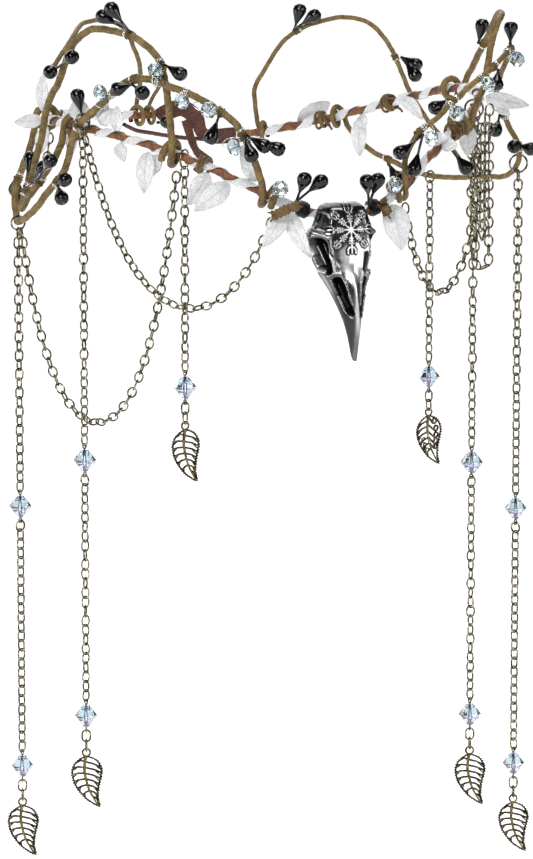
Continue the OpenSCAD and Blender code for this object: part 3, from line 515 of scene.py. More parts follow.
# Leaves: (foot angle, turn round the hoop, tip angle, tip outside, tip height, width, facing)
leafStyle = {
    "thickness": 0.35, "bow": 0.1, "crinkle": 0.6, "cup": 0.16, "widen": 1.06, "areaShare": 0.8, "steps": (44, 18),
    "widest": 0.82, "blunt": 0.72, "body": 0.97, "stalk": 0.035, "crease": 0.3, "creaseEdge": 9,
    "veinLift": 0.1, "veinWaves": 22, "veinSlant": 0.3, "veins": 30, "veinTone": 0.55, "midrib": 0.1,
    "rimTone": 0.8, "rim": 0.14,
}
leafRows = {
    "leaves_left": [
        (-102.3, 60, -101, 2, 15, 5.2, -40), (-99, 0, -100, 13.5, -3.5, 5.2, -10),
        (-99.4, -60, -101, 4, -16.5, 5, -30), (-77, 90, -77.5, 1, 9, 7.4, -20),
        (-68.6, 100, -67.5, -1, 11, 4.4, -20), (-68.6, 100, -63.4, 0.6, 7, 4.6, -30),
        (-81.6, -110, -84, -1.5, -13.5, 4.8, -50), (-60.5, -50, -58, 4, -12, 4.8, -20),
        (-62, 60, -60.5, 3, 8.5, 4.4, -20)],
    "leaves_front": [
        (-51.5, -50, -51, 6.5, -23, 6.6, -30), (-49.6, -100, -51.6, 1.5, -17.5, 6, -30),
        (-35, -30, -39, 8, -26, 7.2, -15), (-29.5, -50, -36.6, 14, -27.5, 7.6, -30),
        (-24.5, 120, -27, 1, -4, 5.4, -30), (-15.6, -40, -21.4, 12, -40.5, 6.6, -20),
        (-14.4, -90, -11, 12, -44.5, 6.2, -30), (11.8, -50, 11.2, 12, -43.5, 9.4, -15)],
    "leaves_right": [
        (46, -90, 44.9, 1, -13.5, 6.6, -10), (30.6, 40, 26, 5, -1.5, 6, -20), (30.6, 40, 30.5, 9, -7, 5.4, 0),
        (64, 10, 61.8, 19.5, 3.5, 5.6, -20), (64, 10, 63, 12, -1, 5.4, 10)],
    "leaves_back": [
        (148.3, 20, 141, 9, -7, 7.6, -20), (130.5, -95, 126.5, -4, -15, 5, -20),
        (130.5, -95, 130, 0, -27, 6, -30), (113.5, 180, 104, -5, -9, 5, -10)],
}


def layLeaf(shape, row, seed):
    footAngle, footTurn, *tip, width, facing = row
    foot = roundHoop(footAngle, footTurn, wrapReach + 0.3)
    along = spot(tip) - foot
    length = along.length
    facing = math.radians(facing)
    bow = along.cross(xAxis * math.sin(facing) - yAxis * math.cos(facing)).cross(along).normalized()
    side = along.cross(bow).normalized()
    width *= leafStyle["widen"]

    def place(u, v):
        across = 2 * v - 1
        bulge = leafStyle["body"] * math.sin(math.pi * u ** leafStyle["widest"]) ** leafStyle["blunt"]
        half = width / 2 * (bulge + leafStyle["stalk"])
        here = foot + u * along + length * leafStyle["bow"] * math.sin(math.pi * u) * bow
        crinkle = noise.noise(Vector((u * length * 0.4, across * 1.6, seed))) * leafStyle["crinkle"]
        crease = leafStyle["crease"] * math.exp(-abs(across) * leafStyle["creaseEdge"]) * math.sin(math.pi * u)
        lift = crinkle - crease + leafStyle["cup"] * half * across * across
        veins = math.sin(leafStyle["veinWaves"] * (u + leafStyle["veinSlant"] * abs(across)))
        veins *= leafStyle["veinLift"] * abs(across) * (1 - abs(across) * 0.5)
        return here + side * across * half + bow * (lift + veins)

    def vein(u, v):
        across = abs(2 * v - 1)
        side = 0.5 + 0.5 * math.sin(leafStyle["veins"] * (u - 0.28 * across))
        rim = leafStyle["rimTone"] * max(0, across - 1 + leafStyle["rim"]) / leafStyle["rim"]
        return max(math.exp(-(across / leafStyle["midrib"]) ** 2), leafStyle["veinTone"] * side ** 6, rim)

    layGrid(shape, *leafStyle["steps"], place, (length / 10, width / 10), vein)
    return leafStyle["areaShare"] * length * width, width, length


def makeLeaves():
    for node, rows in leafRows.items():
        shape = newShape()
        sizes = [layLeaf(shape, row, 3.7 * i + len(node)) for i, row in enumerate(rows)]
        piece = finishPiece(shape, pieceName(node, "Blades"), "glitter", [node])
        thicken(piece, leafStyle["thickness"])
        areas, widths, lengths = zip(*sizes)
        sum(widths) * mm
        max(lengths) * mm
        sum(areas) * mm * mm


makeLeaves()
print("leaves")


# Vines of paper-wrapped wire, one by one: radius, first coil, last coil, and the route between the coils. A coil
# holds an end to the hoop: (angle, from turn, to turn, way along the hoop)
vineStyle = {"tape": (6.2, 0.14, 0.04), "step": 0.5, "sides": 16, "slim": 0.86, "coilSteps": 24, "coilAir": 0.5}
vines = {
    "vine_left_long": (1.6, (-18.8, -405, 0, -1), (-107, 0, 405, -1), [
        (-22, 4.6, -17), (-24.5, 4.4, -6), (-28, 4.4, 4), (-33, 4.8, 10), (-38, 6.4, 14.5), (-43, 8, 17.5),
        (-50, 6.4, 20), (-57, 4.4, 18), (-64, 4.3, 10), (-69, 4.7, 4.5), (-73, 5, 0), (-75, 5.1, -4.5),
        (-76, 5.5, -9), (-77, 6.4, -16), (-79, 8, -22), (-82, 10, -27), (-85, 12, -33), (-88, 13.6, -37),
        (-91, 14.5, -39.5), (-95, 14.2, -41), (-99.5, 13, -41.5), (-103, 12.6, -39.5), (-105, 12.8, -35.5),
        (-106, 12.4, -31), (-107, 11, -26.5), (-107, 8.7, -20.5), (-107, 6.4, -14.5), (-107, 4.8, -8)]),
    "vine_left_tall": (1.6, (-46.8, -405, 0, 1), (-80.5, 0, 360, 1), [
        (-44.2, 4.4, -3), (-44.8, 4.2, 6), (-45.6, 4, 15), (-46.8, 3.3, 22), (-48.8, 2.4, 28), (-52.5, 1.4, 32),
        (-57, 0.8, 35), (-62, 0.2, 36), (-67, 0.3, 36.5), (-71, 1.4, 36), (-76, 2, 32), (-79, 2.3, 28),
        (-82, 2.3, 22), (-85, 3, 14), (-88.5, 4, 8), (-91.5, 4.8, 0), (-92.5, 5.6, -8), (-93.5, 7.2, -15),
        (-94, 8.6, -22), (-95, 10.7, -28.5), (-95.3, 12, -33), (-94, 13.3, -35.5), (-91.4, 13.8, -34.5),
        (-88.5, 13.4, -30), (-86, 12, -26), (-84, 9.8, -20.5), (-81.5, 7.3, -14), (-80.5, 5, -7.5)]),
    "vine_left_rear": (1.1, (-164.4, -405, 0, -1), None, [
        (-166.5, 3.7, -6), (-167, 2.5, 0), (-166, -0.5, 7), (-164, -3, 13), (-161, -5, 18.5), (-157, -9, 24),
        (-150, -14, 27.5), (-140, -18, 30.5), (-125, -20, 33), (-110, -17.5, 34), (-98, -12, 34), (-90, -5.5, 30),
        (-86, 0, 26), (-85.2, 3.6, 22), (-85.4, 5.2, 18.5)]),
    "vine_left_twig": (0.9, (-168.6, -360, 0, -1), None, [
        (-170.3, 3.4, -7), (-172, 3.6, -3), (-174, 4, 1), (-175, 4, 5), (-175.5, 3.8, 9)]),
    "vine_back_arch": (1.1, (156.8, -405, 0, 1), None, [
        (159.4, 3.6, -15), (160, 3.8, -7), (160, 4, -1), (157.5, 5, 6), (153, 6, 17), (148, 7, 23), (143, 8, 26),
        (137, 8, 28), (130, 8, 26), (124, 7, 18), (119, 5.2, 7), (116, 4.4, 0), (113, 5, -6), (109, 6, -13),
        (104.5, 7, -18), (101, 8, -23), (98.5, 9, -27.5)]),
    "vine_right_long": (1.25, (13.6, -405, 0, 1), (136, 0, 405, 1), [
        (15.4, 4.2, -16), (15.2, 5, -10), (16.5, 6, -5), (19, 6.5, 0), (25.5, 6.8, 5), (30, 6, 9), (35, 6, 12),
        (38.5, 7.4, 15), (42.5, 9.8, 18.5), (46, 11.2, 21), (51.5, 12.2, 24), (59, 12.6, 25.5), (65, 12.4, 24.5),
        (70, 11.8, 21), (73, 10.6, 17), (75.5, 9.8, 13), (77.5, 9.2, 8), (78.5, 8.8, 4), (78.5, 9.6, 0),
        (77.5, 12, -4), (77, 14.2, -9), (76.5, 17, -14), (77, 18, -19), (79.5, 17.2, -25), (84, 15, -29),
        (89, 12, -30), (98, 10, -32), (105, 9.2, -33.2), (111.4, 8.6, -33.5), (117, 7.8, -32.2), (122, 7, -29.5),
        (128, 6, -26), (132, 5, -21), (135, 4.2, -16)]),
    "vine_right_tall": (1.5, (40.2, -405, 0, 1), (93.2, 0, -405, 1), [
        (43.6, 4.7, 4.5), (45, 5.5, 8.5), (46.8, 6.6, 13), (48.3, 7.2, 20), (49, 8.2, 28), (50, 8.9, 32.5),
        (52, 9.7, 37), (56, 9.7, 39), (62, 8, 39), (68, 6.8, 37), (74, 5.9, 32), (79, 5.7, 27), (83, 5, 22),
        (86, 4.7, 18), (89, 4.6, 13.5), (92, 4.5, 9.5)]),
}


def vineCoil(radius, t, start, end, way):
    n = round(abs(end - start) * vineStyle["coilSteps"] / 360)
    shift = way * (2 * radius + vineStyle["coilAir"]) / hoop["perDegree"] / vineStyle["coilSteps"]
    return [roundHoop(t + shift * i, start + (end - start) * i / n, wrapReach + radius + 0.05) for i in range(n + 1)]


vinePaths = []


def makeVines():
    for node, (wire, first, last, route) in vines.items():
        path = vineCoil(wire, *first) + smoothRoute(route) + (vineCoil(wire, *last) if last else [])
        path = softened(evenPath(path, vineStyle["step"]), 4)
        radius = wire * vineStyle["slim"]
        vinePaths.append((path, radius))
        shape = newShape()
        layWrapped(shape, path, radius, vineStyle["sides"], vineStyle["tape"])
        finishPiece(shape, pieceName(node, "Paper"), "vine", [node])


makeVines()
print("vines")


# Bindings of olive tape, with a frayed end each: (place on the hoop, turns, turn at the start)
bindings = {"places": [(-37.4, 4, 200), (37.4, 4, 30), (120.4, 4, -60), (141, 4, -110)], "radius": 0.55,
            "spread": 4.2, "waver": 0.5, "lift": 0.35, "bulge": 0.5, "tape": (2.3, 0.2, 0.35),
            "frayed": (0.8, 1.8, 2.9)}


def makeBindings():
    shape = newShape()
    for place, turns, ends in bindings["places"]:
        steps = turns * 28
        path = []
        for i in range(steps + 1):
            u = i / steps
            shift = (0.5 - abs(u - 0.5) * 2) * bindings["spread"] + bindings["waver"] * math.sin(u * 17)
            reach = wrapReach + bindings["lift"] + bindings["bulge"] * math.sin(math.pi * u)
            path.append(roundHoop(place + shift / hoop["perDegree"], ends + 360 * turns * u, reach))
        out, upward = hoopAxes(place)[1:]
        path += [path[-1] + (out - upward).normalized() * d for d in bindings["frayed"]]
        layWrapped(shape, softened(path, 1), bindings["radius"], 8, bindings["tape"], path)
    finishPiece(shape, "oliveTapeWindings", "raffia", ["bindings"])


makeBindings()
print("bindings")

facetBevel = 0.00012
for nodeName in ("berries_left", "berries_left_low", "berries_front", "berries_right", "berries_back"):
    smoothCopy(nodeName, pieceName(nodeName, "Lacquer"), "berry", 50)
for nodeName in ("glass_left", "glass_right"):
    smoothCopy(nodeName, pieceName(nodeName, "Facets"), "clearGlass", 0, facetBevel)
smoothCopy("bicones", "biconeFacets", "beadGlass", 0, facetBevel)
for nodeName in ("rings", "pins", "charm_links", "chain_left_outer", "chain_left_outer_low", "chain_right_outer",
                 "chain_right_outer_low"):
    smoothCopy(nodeName, pieceName(nodeName, "Wire"), "brass", 60)
print("berries, glass and beads")


# The skull, in millimetres from the middle of its back at the crown. Its sections are
# (part of the height down, half width, side depth, brow width, brow depth, ridge depth, back depth)
skull = {
    "height": 58, "halfWidth": 14, "rightEdge": 12.7, "place": (-4, -94.93, -25), "wall": 1.6,
    "rows": [(0, 0.42, 3, 0.34, 5, 6, 1), (0.03, 0.58, 4.5, 0.48, 8, 9.5, 0), (0.1, 0.7, 5, 0.56, 9.5, 11.4, 0),
             (0.16, 0.8, 5, 0.6, 10.2, 12.2, 0), (0.21, 0.98, 5.5, 0.64, 10.6, 12.8, 0),
             (0.28, 0.92, 6, 0.62, 11, 13.4, 0), (0.36, 0.8, 7, 0.56, 11.4, 14, 0.5),
             (0.44, 0.67, 9, 0.42, 12.4, 15.6, 2), (0.52, 0.51, 10.4, 0.3, 13.8, 17.4, 4.5),
             (0.62, 0.37, 11.6, 0.21, 15, 18.2, 8), (0.74, 0.24, 12.8, 0.14, 15.8, 18.4, 10.8),
             (0.86, 0.15, 13.5, 0.09, 15.6, 17.6, 12.4), (0.96, 0.09, 13.8, 0.05, 15.2, 16.6, 13.4),
             (1, 0.05, 14.4, 0.03, 15.2, 15.6, 14)],
    "across": 160, "down": 260, "lean": 1.0,
    # The dark disk round the figure, and the tones of the beak's sides and of the top edge, are painted shade
    "figureDrop": 9.2, "figureReach": 9.8, "staveHalf": 0.36, "staveLift": 0.55, "paintedShadow": 4.7,
    "culmenHalf": 0.7, "culmenLift": 0.35, "culmenTop": (-25, 3), "culmenEnd": (46, 6), "grain": 0.05,
    "rightFade": 10.4, "cutForBlack": 1.4, "plainTone": 0.42, "paintedShadowTone": 0.92, "beakTone": 0.74,
    "beakTop": (-31, 5), "backTone": 0.35, "topTone": 0.62, "topEdge": (1.6, 1.2),
    # Cut and raised strokes: (from, to, half width, lift), places as (out, down)
    "strokes": [
        ((12.7, 11.8), (7.2, 19.6), 0.55, 0.8), ((7.2, 19.6), (6.2, 24.6), 0.5, 0.6),
        ((8.3, 26.1), (6.8, 25), 0.42, 0.7), ((6.8, 25), (4.4, 24.9), 0.42, 0.7), ((4.4, 24.9), (3.1, 28.2), 0.4, 0.6),
        ((12.2, 15.4), (11.3, 22.6), 3.1, -4.4), ((8.9, 21.8), (8.4, 24.4), 1.4, -3.6),
        ((5.4, 28.3), (4.2, 32.2), 1.5, -3.2), ((4.2, 32.2), (1.9, 39.8), 0.8, -2.6),
        ((7.1, 28), (3.3, 39), 0.32, 0.6), ((3.1, 28.2), (1.3, 36.5), 0.28, 0.5), ((3.2, 39), (1.6, 41.4), 0.45, 0.7),
        ((12.4, 19.5), (12.5, 20.5), 0.5, 0.6), ((12.2, 22.5), (12.1, 23.2), 0.45, 0.6),
    ],
    # Strokes on one half alone, and ridges that stand on the floor of the left socket and window
    "leftStrokes": [((13.6, 9.8), (9.2, 10.8), 0.9, 0.8), ((8.4, 10.8), (8.3, 11), 1.1, 1.1),
                    ((9.1, 5), (9.5, 7.2), 1.9, -0.5)],
    "rightStrokes": [((6.6, 18.5), (5.4, 25), 1.0, -1.2)],
    "bars": [((12.6, 16), (9.9, 22.6), 0.3, 2.4), ((10.6, 14.6), (9.4, 18.6), 0.25, 2.2),
             ((11.6, 20.6), (10.6, 23.6), 0.25, 2), ((12.3, 23.4), (11.6, 23.8), 0.35, 2),
             ((9.9, 24.9), (9.7, 25), 0.6, 2.6), ((5.6, 29.6), (2.9, 38), 0.22, 2)],
    # Plates of painted highlight: (from, to, half width), places as (across, down)
    "paintedHighlightPlates": [((0.6, 18.5), (1.6, 24.5), 5), ((0.6, 26), (0.2, 32), 1.6), ((-9.6, 4.6), (-9.2, 8.6), 1.9),
               ((7.4, 14), (6.6, 17), 1.1)],
}
# The eight arms of the figure: lines on every arm, and on every second arm, as (out, along the arm)
staves = {
    "both": [((0, 0), (0, 8.4)), ((-0.6, 3.1), (0.6, 3.1)), ((-0.8, 4), (0.8, 4)), ((-0.9, 4.9), (0.9, 4.9))],
    "arch": [((-1.5, 8.6), (-1.5, 7.3)), ((-1.5, 7.3), (-0.8, 6.3)), ((-0.8, 6.3), (0.8, 6.3)),
             ((0.8, 6.3), (1.5, 7.3)), ((1.5, 7.3), (1.5, 8.6))],
    "ring": [((-1.2, 7.7), (-0.9, 6.5)), ((-0.9, 6.5), (0.9, 6.5)), ((0.9, 6.5), (1.2, 7.7)), ((1.2, 7.7), (0.5, 8.8)),
             ((-0.5, 8.8), (-1.2, 7.7))],
}


def segmentDistance(x, y, start, end):
    dx, dy = end[0] - start[0], end[1] - start[1]
    part = max(0, min(1, ((x - start[0]) * dx + (y - start[1]) * dy) / (dx * dx + dy * dy)))
    return math.hypot(x - start[0] - part * dx, y - start[1] - part * dy)


def fade(distance, half, soft):
    part = max(0, min(1, (half + soft - distance) / (2 * soft)))
    return part * part * (3 - 2 * part)


# How far a place is on a raised line, and in the painted shadow round it and over the figure's middle
def staveLift(x, y):
    reach = math.hypot(x, y)
    if reach > skull["figureReach"]:
        return 0, 0
    arm = round(math.atan2(x, y) / (math.pi / 4))
    turn = arm * math.pi / 4
    x, y = x * math.cos(turn) - y * math.sin(turn), x * math.sin(turn) + y * math.cos(turn)
    near = min(segmentDistance(x, y, *line) for line in staves["both"] + staves["ring" if arm % 2 else "arch"])
    line = fade(near, skull["staveHalf"], 0.14)
    paintedShadow = max(0.9 * fade(reach, skull["paintedShadow"], 0.8), fade(near, skull["staveHalf"] + 0.4, 0.2))
    return line, paintedShadow * (1 - line)


# The lift of the surface at a place, and how dark it is painted: painted highlight on the plates, the raised lines and
# the culmen, painted shade in the cuts, round the figure, on the beak's sides and along the top edge
def skullDetail(x, down):
    out = abs(x)
    raised, cut = 0.0, 0.0
    for start, end, half, lift in skull["strokes"] + skull["rightStrokes" if x > 0 else "leftStrokes"]:
        if start[1] - half - 3 < down < end[1] + half + 3:
            soft = half * (0.45 if lift > 0 else 0.3)
            part = fade(segmentDistance(out, down, start, end), half, soft) * lift
            raised, cut = max(raised, part), min(cut, part)
    if x > 0:
        raised *= fade(out, skull["rightFade"], 1.0)
    bar = max(fade(segmentDistance(out, down, start, end), half, 0.25) * lift
              for start, end, half, lift in skull["bars"])
    # Painted shade: the deeper a cut, the darker it is painted, less so where the socket bars stand
    cut, shade = min(0, cut + bar), max(0, -cut / skull["cutForBlack"]) * (1 - min(1, bar * 0.45))
    # Painted highlight on the plates
    paintedHighlight = max(fade(segmentDistance(x, down, start, end), half, half * 0.5) for start, end, half in skull["paintedHighlightPlates"])
    stave, paintedShadow = staveLift(x, skull["figureDrop"] - down)
    culmen = fade(-down, *skull["culmenTop"]) * fade(down, *skull["culmenEnd"])
    culmen *= math.exp(-(x / skull["culmenHalf"]) ** 2)
    lift = cut + raised * (1 if cut > -0.6 else 0.2) + skull["staveLift"] * stave + skull["culmenLift"] * culmen
    lift += skull["grain"] * noise.noise(Vector((x * 0.5, down * 0.5, 2)))
    arm = math.hypot(x, down - skull["figureDrop"])
    # Painted highlight on the plates, the raised strokes, the figure's lines (less towards their ends), the culmen and
    # the bars
    shine = min(1, max(paintedHighlight, stave * (0.95 - 0.055 * arm), raised, culmen * 0.8, bar * 0.4))
    # Painted shade on the beak's sides, away from its middle line
    beakShade = skull["beakTone"] * fade(-down, *skull["beakTop"]) * (1 - math.exp(-(x / 0.8) ** 2))
    # Painted shade along the top edge
    top = skull["topTone"] * fade(down, *skull["topEdge"])
    dark = max(skull["plainTone"] * (1 - shine), shade, paintedShadow * skull["paintedShadowTone"], top, beakShade * (1 - raised))
    return lift, min(1, dark)


# The front of one section as places from its right to its left side
def skullSection(down, width, side, brow, browDepth, ridge, back):
    w, b = width * skull["halfWidth"], brow * skull["halfWidth"]
    right, middle = min(w, skull["rightEdge"]), (browDepth + 2 * ridge) / 3
    points = [(-w, back), (-w, side), (-b, browDepth), (-b / 2, middle), (0, ridge), (b / 2, middle), (b, browDepth),
              (right, side), (right, back)]
    places = [curveAt(points, 8 * k / skull["across"]) for k in range(skull["across"] + 1)]
    return [Vector((x, -y, -down * skull["height"])) for x, y in places]


def makeSkull():
    across, rows = skull["across"], skull["down"]
    sections = [curveAt(skull["rows"], (len(skull["rows"]) - 1) * j / rows) for j in range(rows + 1)]
    front = [skullSection(*section) for section in sections]
    made, darks = [], []
    for j, row in enumerate(front):
        above, below = front[max(j - 1, 0)], front[min(j + 1, rows)]
        down, back = sections[j][0], sections[j][-1]
        lean = xAxis * skull["lean"] * fade(-down, -0.66, 0.2)
        outer, shade = [], []
        for k, here in enumerate(row):
            side = row[min(k + 1, across)] - row[max(k - 1, 0)]
            normal = side.cross(above[k] - below[k]).normalized()
            lift, dark = skullDetail(here.x, -here.z)
            edge = min(1, k / 6, (across - k) / 6)
            outer.append(here + normal * lift * edge + lean)
            shade.append(dark * edge)
        # Behind the sockets the back is an open hollow
        hollow = fade(abs(down - 0.24), 0.17, 0.03)
        inner = [Vector((here.x * (1 - 0.1 * hollow), -back - hollow * max(0, -here.y - back - skull["wall"]), here.z))
                 for here in reversed(outer)]
        made.append(outer + inner)
        darks.append(shade + [skull["backTone"]] * (across + 1))
    columns = 2 * across + 1
    shape = newShape()
    layGrid(shape, rows, columns, lambda u, v: made[round(u * rows)][round(v * columns)],
            (6, 6), lambda u, v: darks[round(u * rows)][round(v * columns)])
    bmesh.ops.translate(shape, vec=skull["place"], verts=shape.verts)
    bmesh.ops.remove_doubles(shape, verts=shape.verts, dist=0.002)
    bmesh.ops.holes_fill(shape, edges=[edge for edge in shape.edges if edge.is_boundary], sides=0)
    finishPiece(shape, "skullCast", "skull", ["skull"])


makeSkull()
print("skull")


# Chains: oval links of round wire, in millimetres
chain = {"length": 5.3, "width": 3.9, "wire": 0.75, "air": 0.13, "ringWire": 0.8, "gap": 0.15,
         "sway": 28, "swayWaves": 7, "jitter": 5}
chain["pitch"] = chain["length"] - 2 * chain["wire"] - chain["air"]
chain["reach"] = (chain["length"] - chain["wire"]) / 2
# Drops: name, angle, outside, links above the bead, links below it, turn of the charm, charm style
drops = [
    ("left_outer", -95, 14.2, 28, 24, 8, "plain"), ("left_inner", -71.5, 4.9, 33, 23, 8, "plain"),
    ("left_mid", -42.1, 0, 21, 0, 32, "plain"), ("right_inner", 53.2, 0, 35, 23, 8, "plain"),
    ("right_outer", 78.2, 18, 35, 24, 8, "plain"), ("right_mid", 111.4, 8.6, 20, 0, 32, "scroll"),
]


def linkMesh():
    bend, straight = (chain["width"] - chain["wire"]) / 2, (chain["length"] - chain["width"]) / 2
    shape = newShape()
    layLoop(shape, Vector((0, 0, 0)), xAxis, up, bend, chain["wire"], 6, 16, math.pi / 16, straight)
    bmesh.ops.remove_doubles(shape, verts=shape.verts, dist=0.001)
    return meshOf(shape, "oneLink")


oneLink = linkMesh()


def addLinks(shape, places):
    for place in places:
        known = len(shape.verts)
        shape.from_mesh(oneLink)
        shape.verts.ensure_lookup_table()
        bmesh.ops.transform(shape, matrix=place, verts=shape.verts[known:])


# Links turn slowly about the drop, and not at all at its two ends
def wander(i, count):
    u = i / (count - 1)
    sway = chain["sway"] * math.sin(chain["swayWaves"] * math.pi * u + count)
    return math.sin(math.pi * u) * (sway + chain["jitter"] * math.sin(i * 2.3))


def straightLinks(centre, top, count, start, step):
    return [Matrix.Translation((centre.x, centre.y, top - i * chain["pitch"]))
            @ Matrix.Rotation(math.radians(start + step * i + wander(i, count)), 4, "Z") for i in range(count)]


# The first link lies along the hoop, and the last above the bead is seen half open. The outer drops are copied
# nodes
def makeDropLinks():
    for name, angle, outside, upper, lower, *_ in drops:
        if "outer" in name:
            continue
        along = hoopAxes(angle)[0]
        turn = math.degrees(math.atan2(along.y, along.x))
        step = 90 + (((viewTurn + 45 - turn) % 90 + 135) % 90 - 45) / (upper - 1)
        parts = [("", "Links", upper, turn, step)]
        if lower:
            parts.append(("_low", "LowLinks", lower, turn + step * (upper - 1) + 90, 90))
        for part, ending, count, turn, step in parts:
            node = "chain_" + name + part
            first = (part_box(node)[1][2] / mm + chain["ringWire"] + chain["gap"] + chain["wire"] / 2 + chain["air"]
                     - chain["reach"])
            shape = newShape()
            addLinks(shape, straightLinks(spot((angle, outside, 0)), first, count, turn, step))
            finishPiece(shape, pieceName(name, ending), "brass", [node])


def swagPath(start, end, fullness, count=200):
    start, end = spot(start), spot(end)
    span = math.hypot(end.x - start.x, end.y - start.y)
    k = span / (2 * fullness)
    x0 = span / 2 - k * math.asinh((end.z - start.z) / (2 * k * math.sinh(fullness)))
    path = []
    for i in range(count + 1):
        here = start.lerp(end, i / count)
        here.z = start.z + k * (math.cosh((i / count * span - x0) / k) - math.cosh(x0 / k))
        path.append(here)
    return path


def loopPath(start, end, bottom, count=40):
    start, end = spot(start), spot(end)
    r = math.hypot(end.x - start.x, end.y - start.y) / 2
    path = [start]
    for i in range(count + 1):
        here = start.lerp(end, (1 - math.cos(math.pi * i / count)) / 2)
        here.z = bottom + r * (1 - math.sin(math.pi * i / count))
        path.append(here)
    return path + [end]


def linksAlong(path, turn):
    length = pathLength(path)
    count = max(2, round(length / chain["pitch"]))
    points = evenPath(path, length / (2 * count))
    level = (path[-1] - path[0]).cross(up)
    if level.length < 1:
        level = polar(math.radians(viewTurn), xAxis, yAxis)
    level = level.normalized()
    made = []
    for i in range(count):
        here, along = points[2 * i + 1], (points[2 * i + 2] - points[2 * i]).normalized()
        face = (level - along * level.dot(along)).normalized()
        axes = Matrix((face.cross(along), face, along)).transposed().to_4x4()
        roll = math.radians(turn + 90 * i + 7 * math.sin(i * 1.7))
        made.append(Matrix.Translation(here) @ axes @ Matrix.Rotation(roll, 4, "Z"))
    return made


# Swags and loops, with the ends and the fullness of the cords that stand for them in the frame
swags = {
    "chain_swag_left": {"path": swagPath((-92.4, 14.3, -43.2), (-43.2, 3.5, -14.8), 2.48), "turn": 30},
    "chain_swag_front": {"path": swagPath((-75, 0.2, -4.8), (-19.4, 0.6, -31.4), 1.8), "turn": 20},
    "chain_swag_right": {
        "path": swagPath((17.4, 0.4, -28), (49.6, 0.4, -44), 1.78) + [spot((49.6, 0.4, -0.4))], "turn": 25},
    "chain_loop_right": {"path": loopPath((57.4, -0.2, 1.9), (57.4, 5, 4), -59), "turn": 15,
                         "second": loopPath((54.6, 2.2, -3), (56, 3.6, 1), -47)},
    "chain_left_short": {
        "path": smoothRoute([(-104, -1, -5), (-104.4, -0.6, -12), (-105, 0, -18), (-105.4, 0.6, -24)]), "turn": 40},
}


def makeSwags():
    for node, swag in swags.items():
        shape = newShape()
        addLinks(shape, linksAlong(swag["path"], swag["turn"]))
        if "second" in swag:
            addLinks(shape, linksAlong(swag["second"], swag["turn"] + 30))
        finishPiece(shape, pieceName(node.replace("chain_", ""), "Links"), "brass", [node])


makeDropLinks()
makeSwags()
print("chains")


# Leaf charms: (down, left edge, midrib, right edge) in millimetres
charm = {
    "rows": [(0, -0.6, 0, 0.6), (1.3, -3.1, -0.5, 3.7), (3.2, -5, -0.7, 5.4), (5.9, -5.8, -0.8, 6.2),
             (8.6, -5.5, -0.3, 5.8), (11.4, -4.5, 0.4, 5.1), (14, -2.8, 1.3, 4.7), (16.8, -0.4, 2.8, 4.6),
             (19, 2.7, 4.2, 5.2), (20.2, 4.8, 5.2, 5.6)],
    "loopRadius": 1.5, "loopWire": 0.8, "rimRadius": 0.34, "rimInside": 0.4, "dot": 0.43, "dotPitch": 1.1,
    "veinRadius": 0.44, "veins": 7, "firstVein": 2.1, "veinPitch": 2.3, "leastVein": 1.2, "veinArch": (0, 0.35, 0.12),
    "scrollDrop": 2.3, "forkRadius": 0.3, "forkFrom": 0.62, "forkDrop": 1.25, "leastForked": 2.2,
    # Where the large and the small curls of the scroll charm are, down from its loop
    "scrolls": (-3.7, -6.7, -9.5, -12, -14.3), "scrollRadius": 0.46, "smallCurls": (-11.4, -13.6, -15.6),
    # How far out from the midrib they sit, and their sizes, as parts of the way to the edge
    "scrollAt": 0.62, "scrollSize": 0.27, "scrollMost": 1.3, "scrollShrink": 0.035, "smallAt": 0.45, "smallSize": 0.2,
}


def charmCurve(column):
    return smoothCurve([Vector((row[column], -row[0] - charm["loopRadius"], 0)) for row in charm["rows"]], 10)


def edgeAt(curve, y):
    for a, b in zip(curve, curve[1:]):
        if b.y <= y:
            return a.lerp(b, (y - a.y) / (b.y - a.y)) if b.y != a.y else b
    return curve[-1]


def layWire(shape, path, radius, tone):
    layTube(shape, path, radius, 6, wrapOf=tone, side=up)


def layCharm(shape, style):
    left, rib, right = charmCurve(1), charmCurve(2), charmCurve(3)
    scroll, inside = style == "scroll", xAxis * charm["rimInside"]
    outline = evenPath([p + inside for p in left] + [p - inside for p in reversed(right)], 0.6)
    # The rim is painted dark, as shade between the bright dots
    layTube(shape, outline, charm["rimRadius"], 8, wrapOf=0.9, side=up)
    for i in range(charm["veins"]):
        y = -charm["loopRadius"] - charm["firstVein"] - i * charm["veinPitch"]
        start = edgeAt(rib, y)
        leftEnd = edgeAt(left, y - (charm["scrollDrop"] if scroll else 0.45 * i - 0.4))
        for curve, end in ((left, leftEnd), (right, edgeAt(right, y - 2.5 + 0.1 * i)))[:1 if scroll else 2]:
            reach = abs(end.x - start.x)
            if reach < charm["leastVein"]:
                continue
            middle = start.lerp(end, 0.5) + Vector(charm["veinArch"])
            layWire(shape, [start, start.lerp(middle, 0.6), middle, middle.lerp(end, 0.6), end], charm["veinRadius"],
                    0.4)
            if reach > charm["leastForked"]:
                branch, fork = start.lerp(end, charm["forkFrom"]), edgeAt(curve, end.y - charm["forkDrop"])
                layWire(shape, [branch, branch.lerp(fork, 0.5) - yAxis * 0.1, fork], charm["forkRadius"], 0.5)
    if scroll:
        layScrolls(shape, left, rib, right)
    for curve, inward in ((left, -0.05), (right, 0.05)):
        for p in evenPath(curve, charm["dotPitch"])[1:-1]:
            bmesh.ops.create_icosphere(shape, subdivisions=1, radius=charm["dot"],
                                       matrix=Matrix.Translation(p + Vector((inward, 0, 0.1))))
    layLoop(shape, Vector((0, 0, 0)), xAxis, yAxis, charm["loopRadius"], charm["loopWire"])


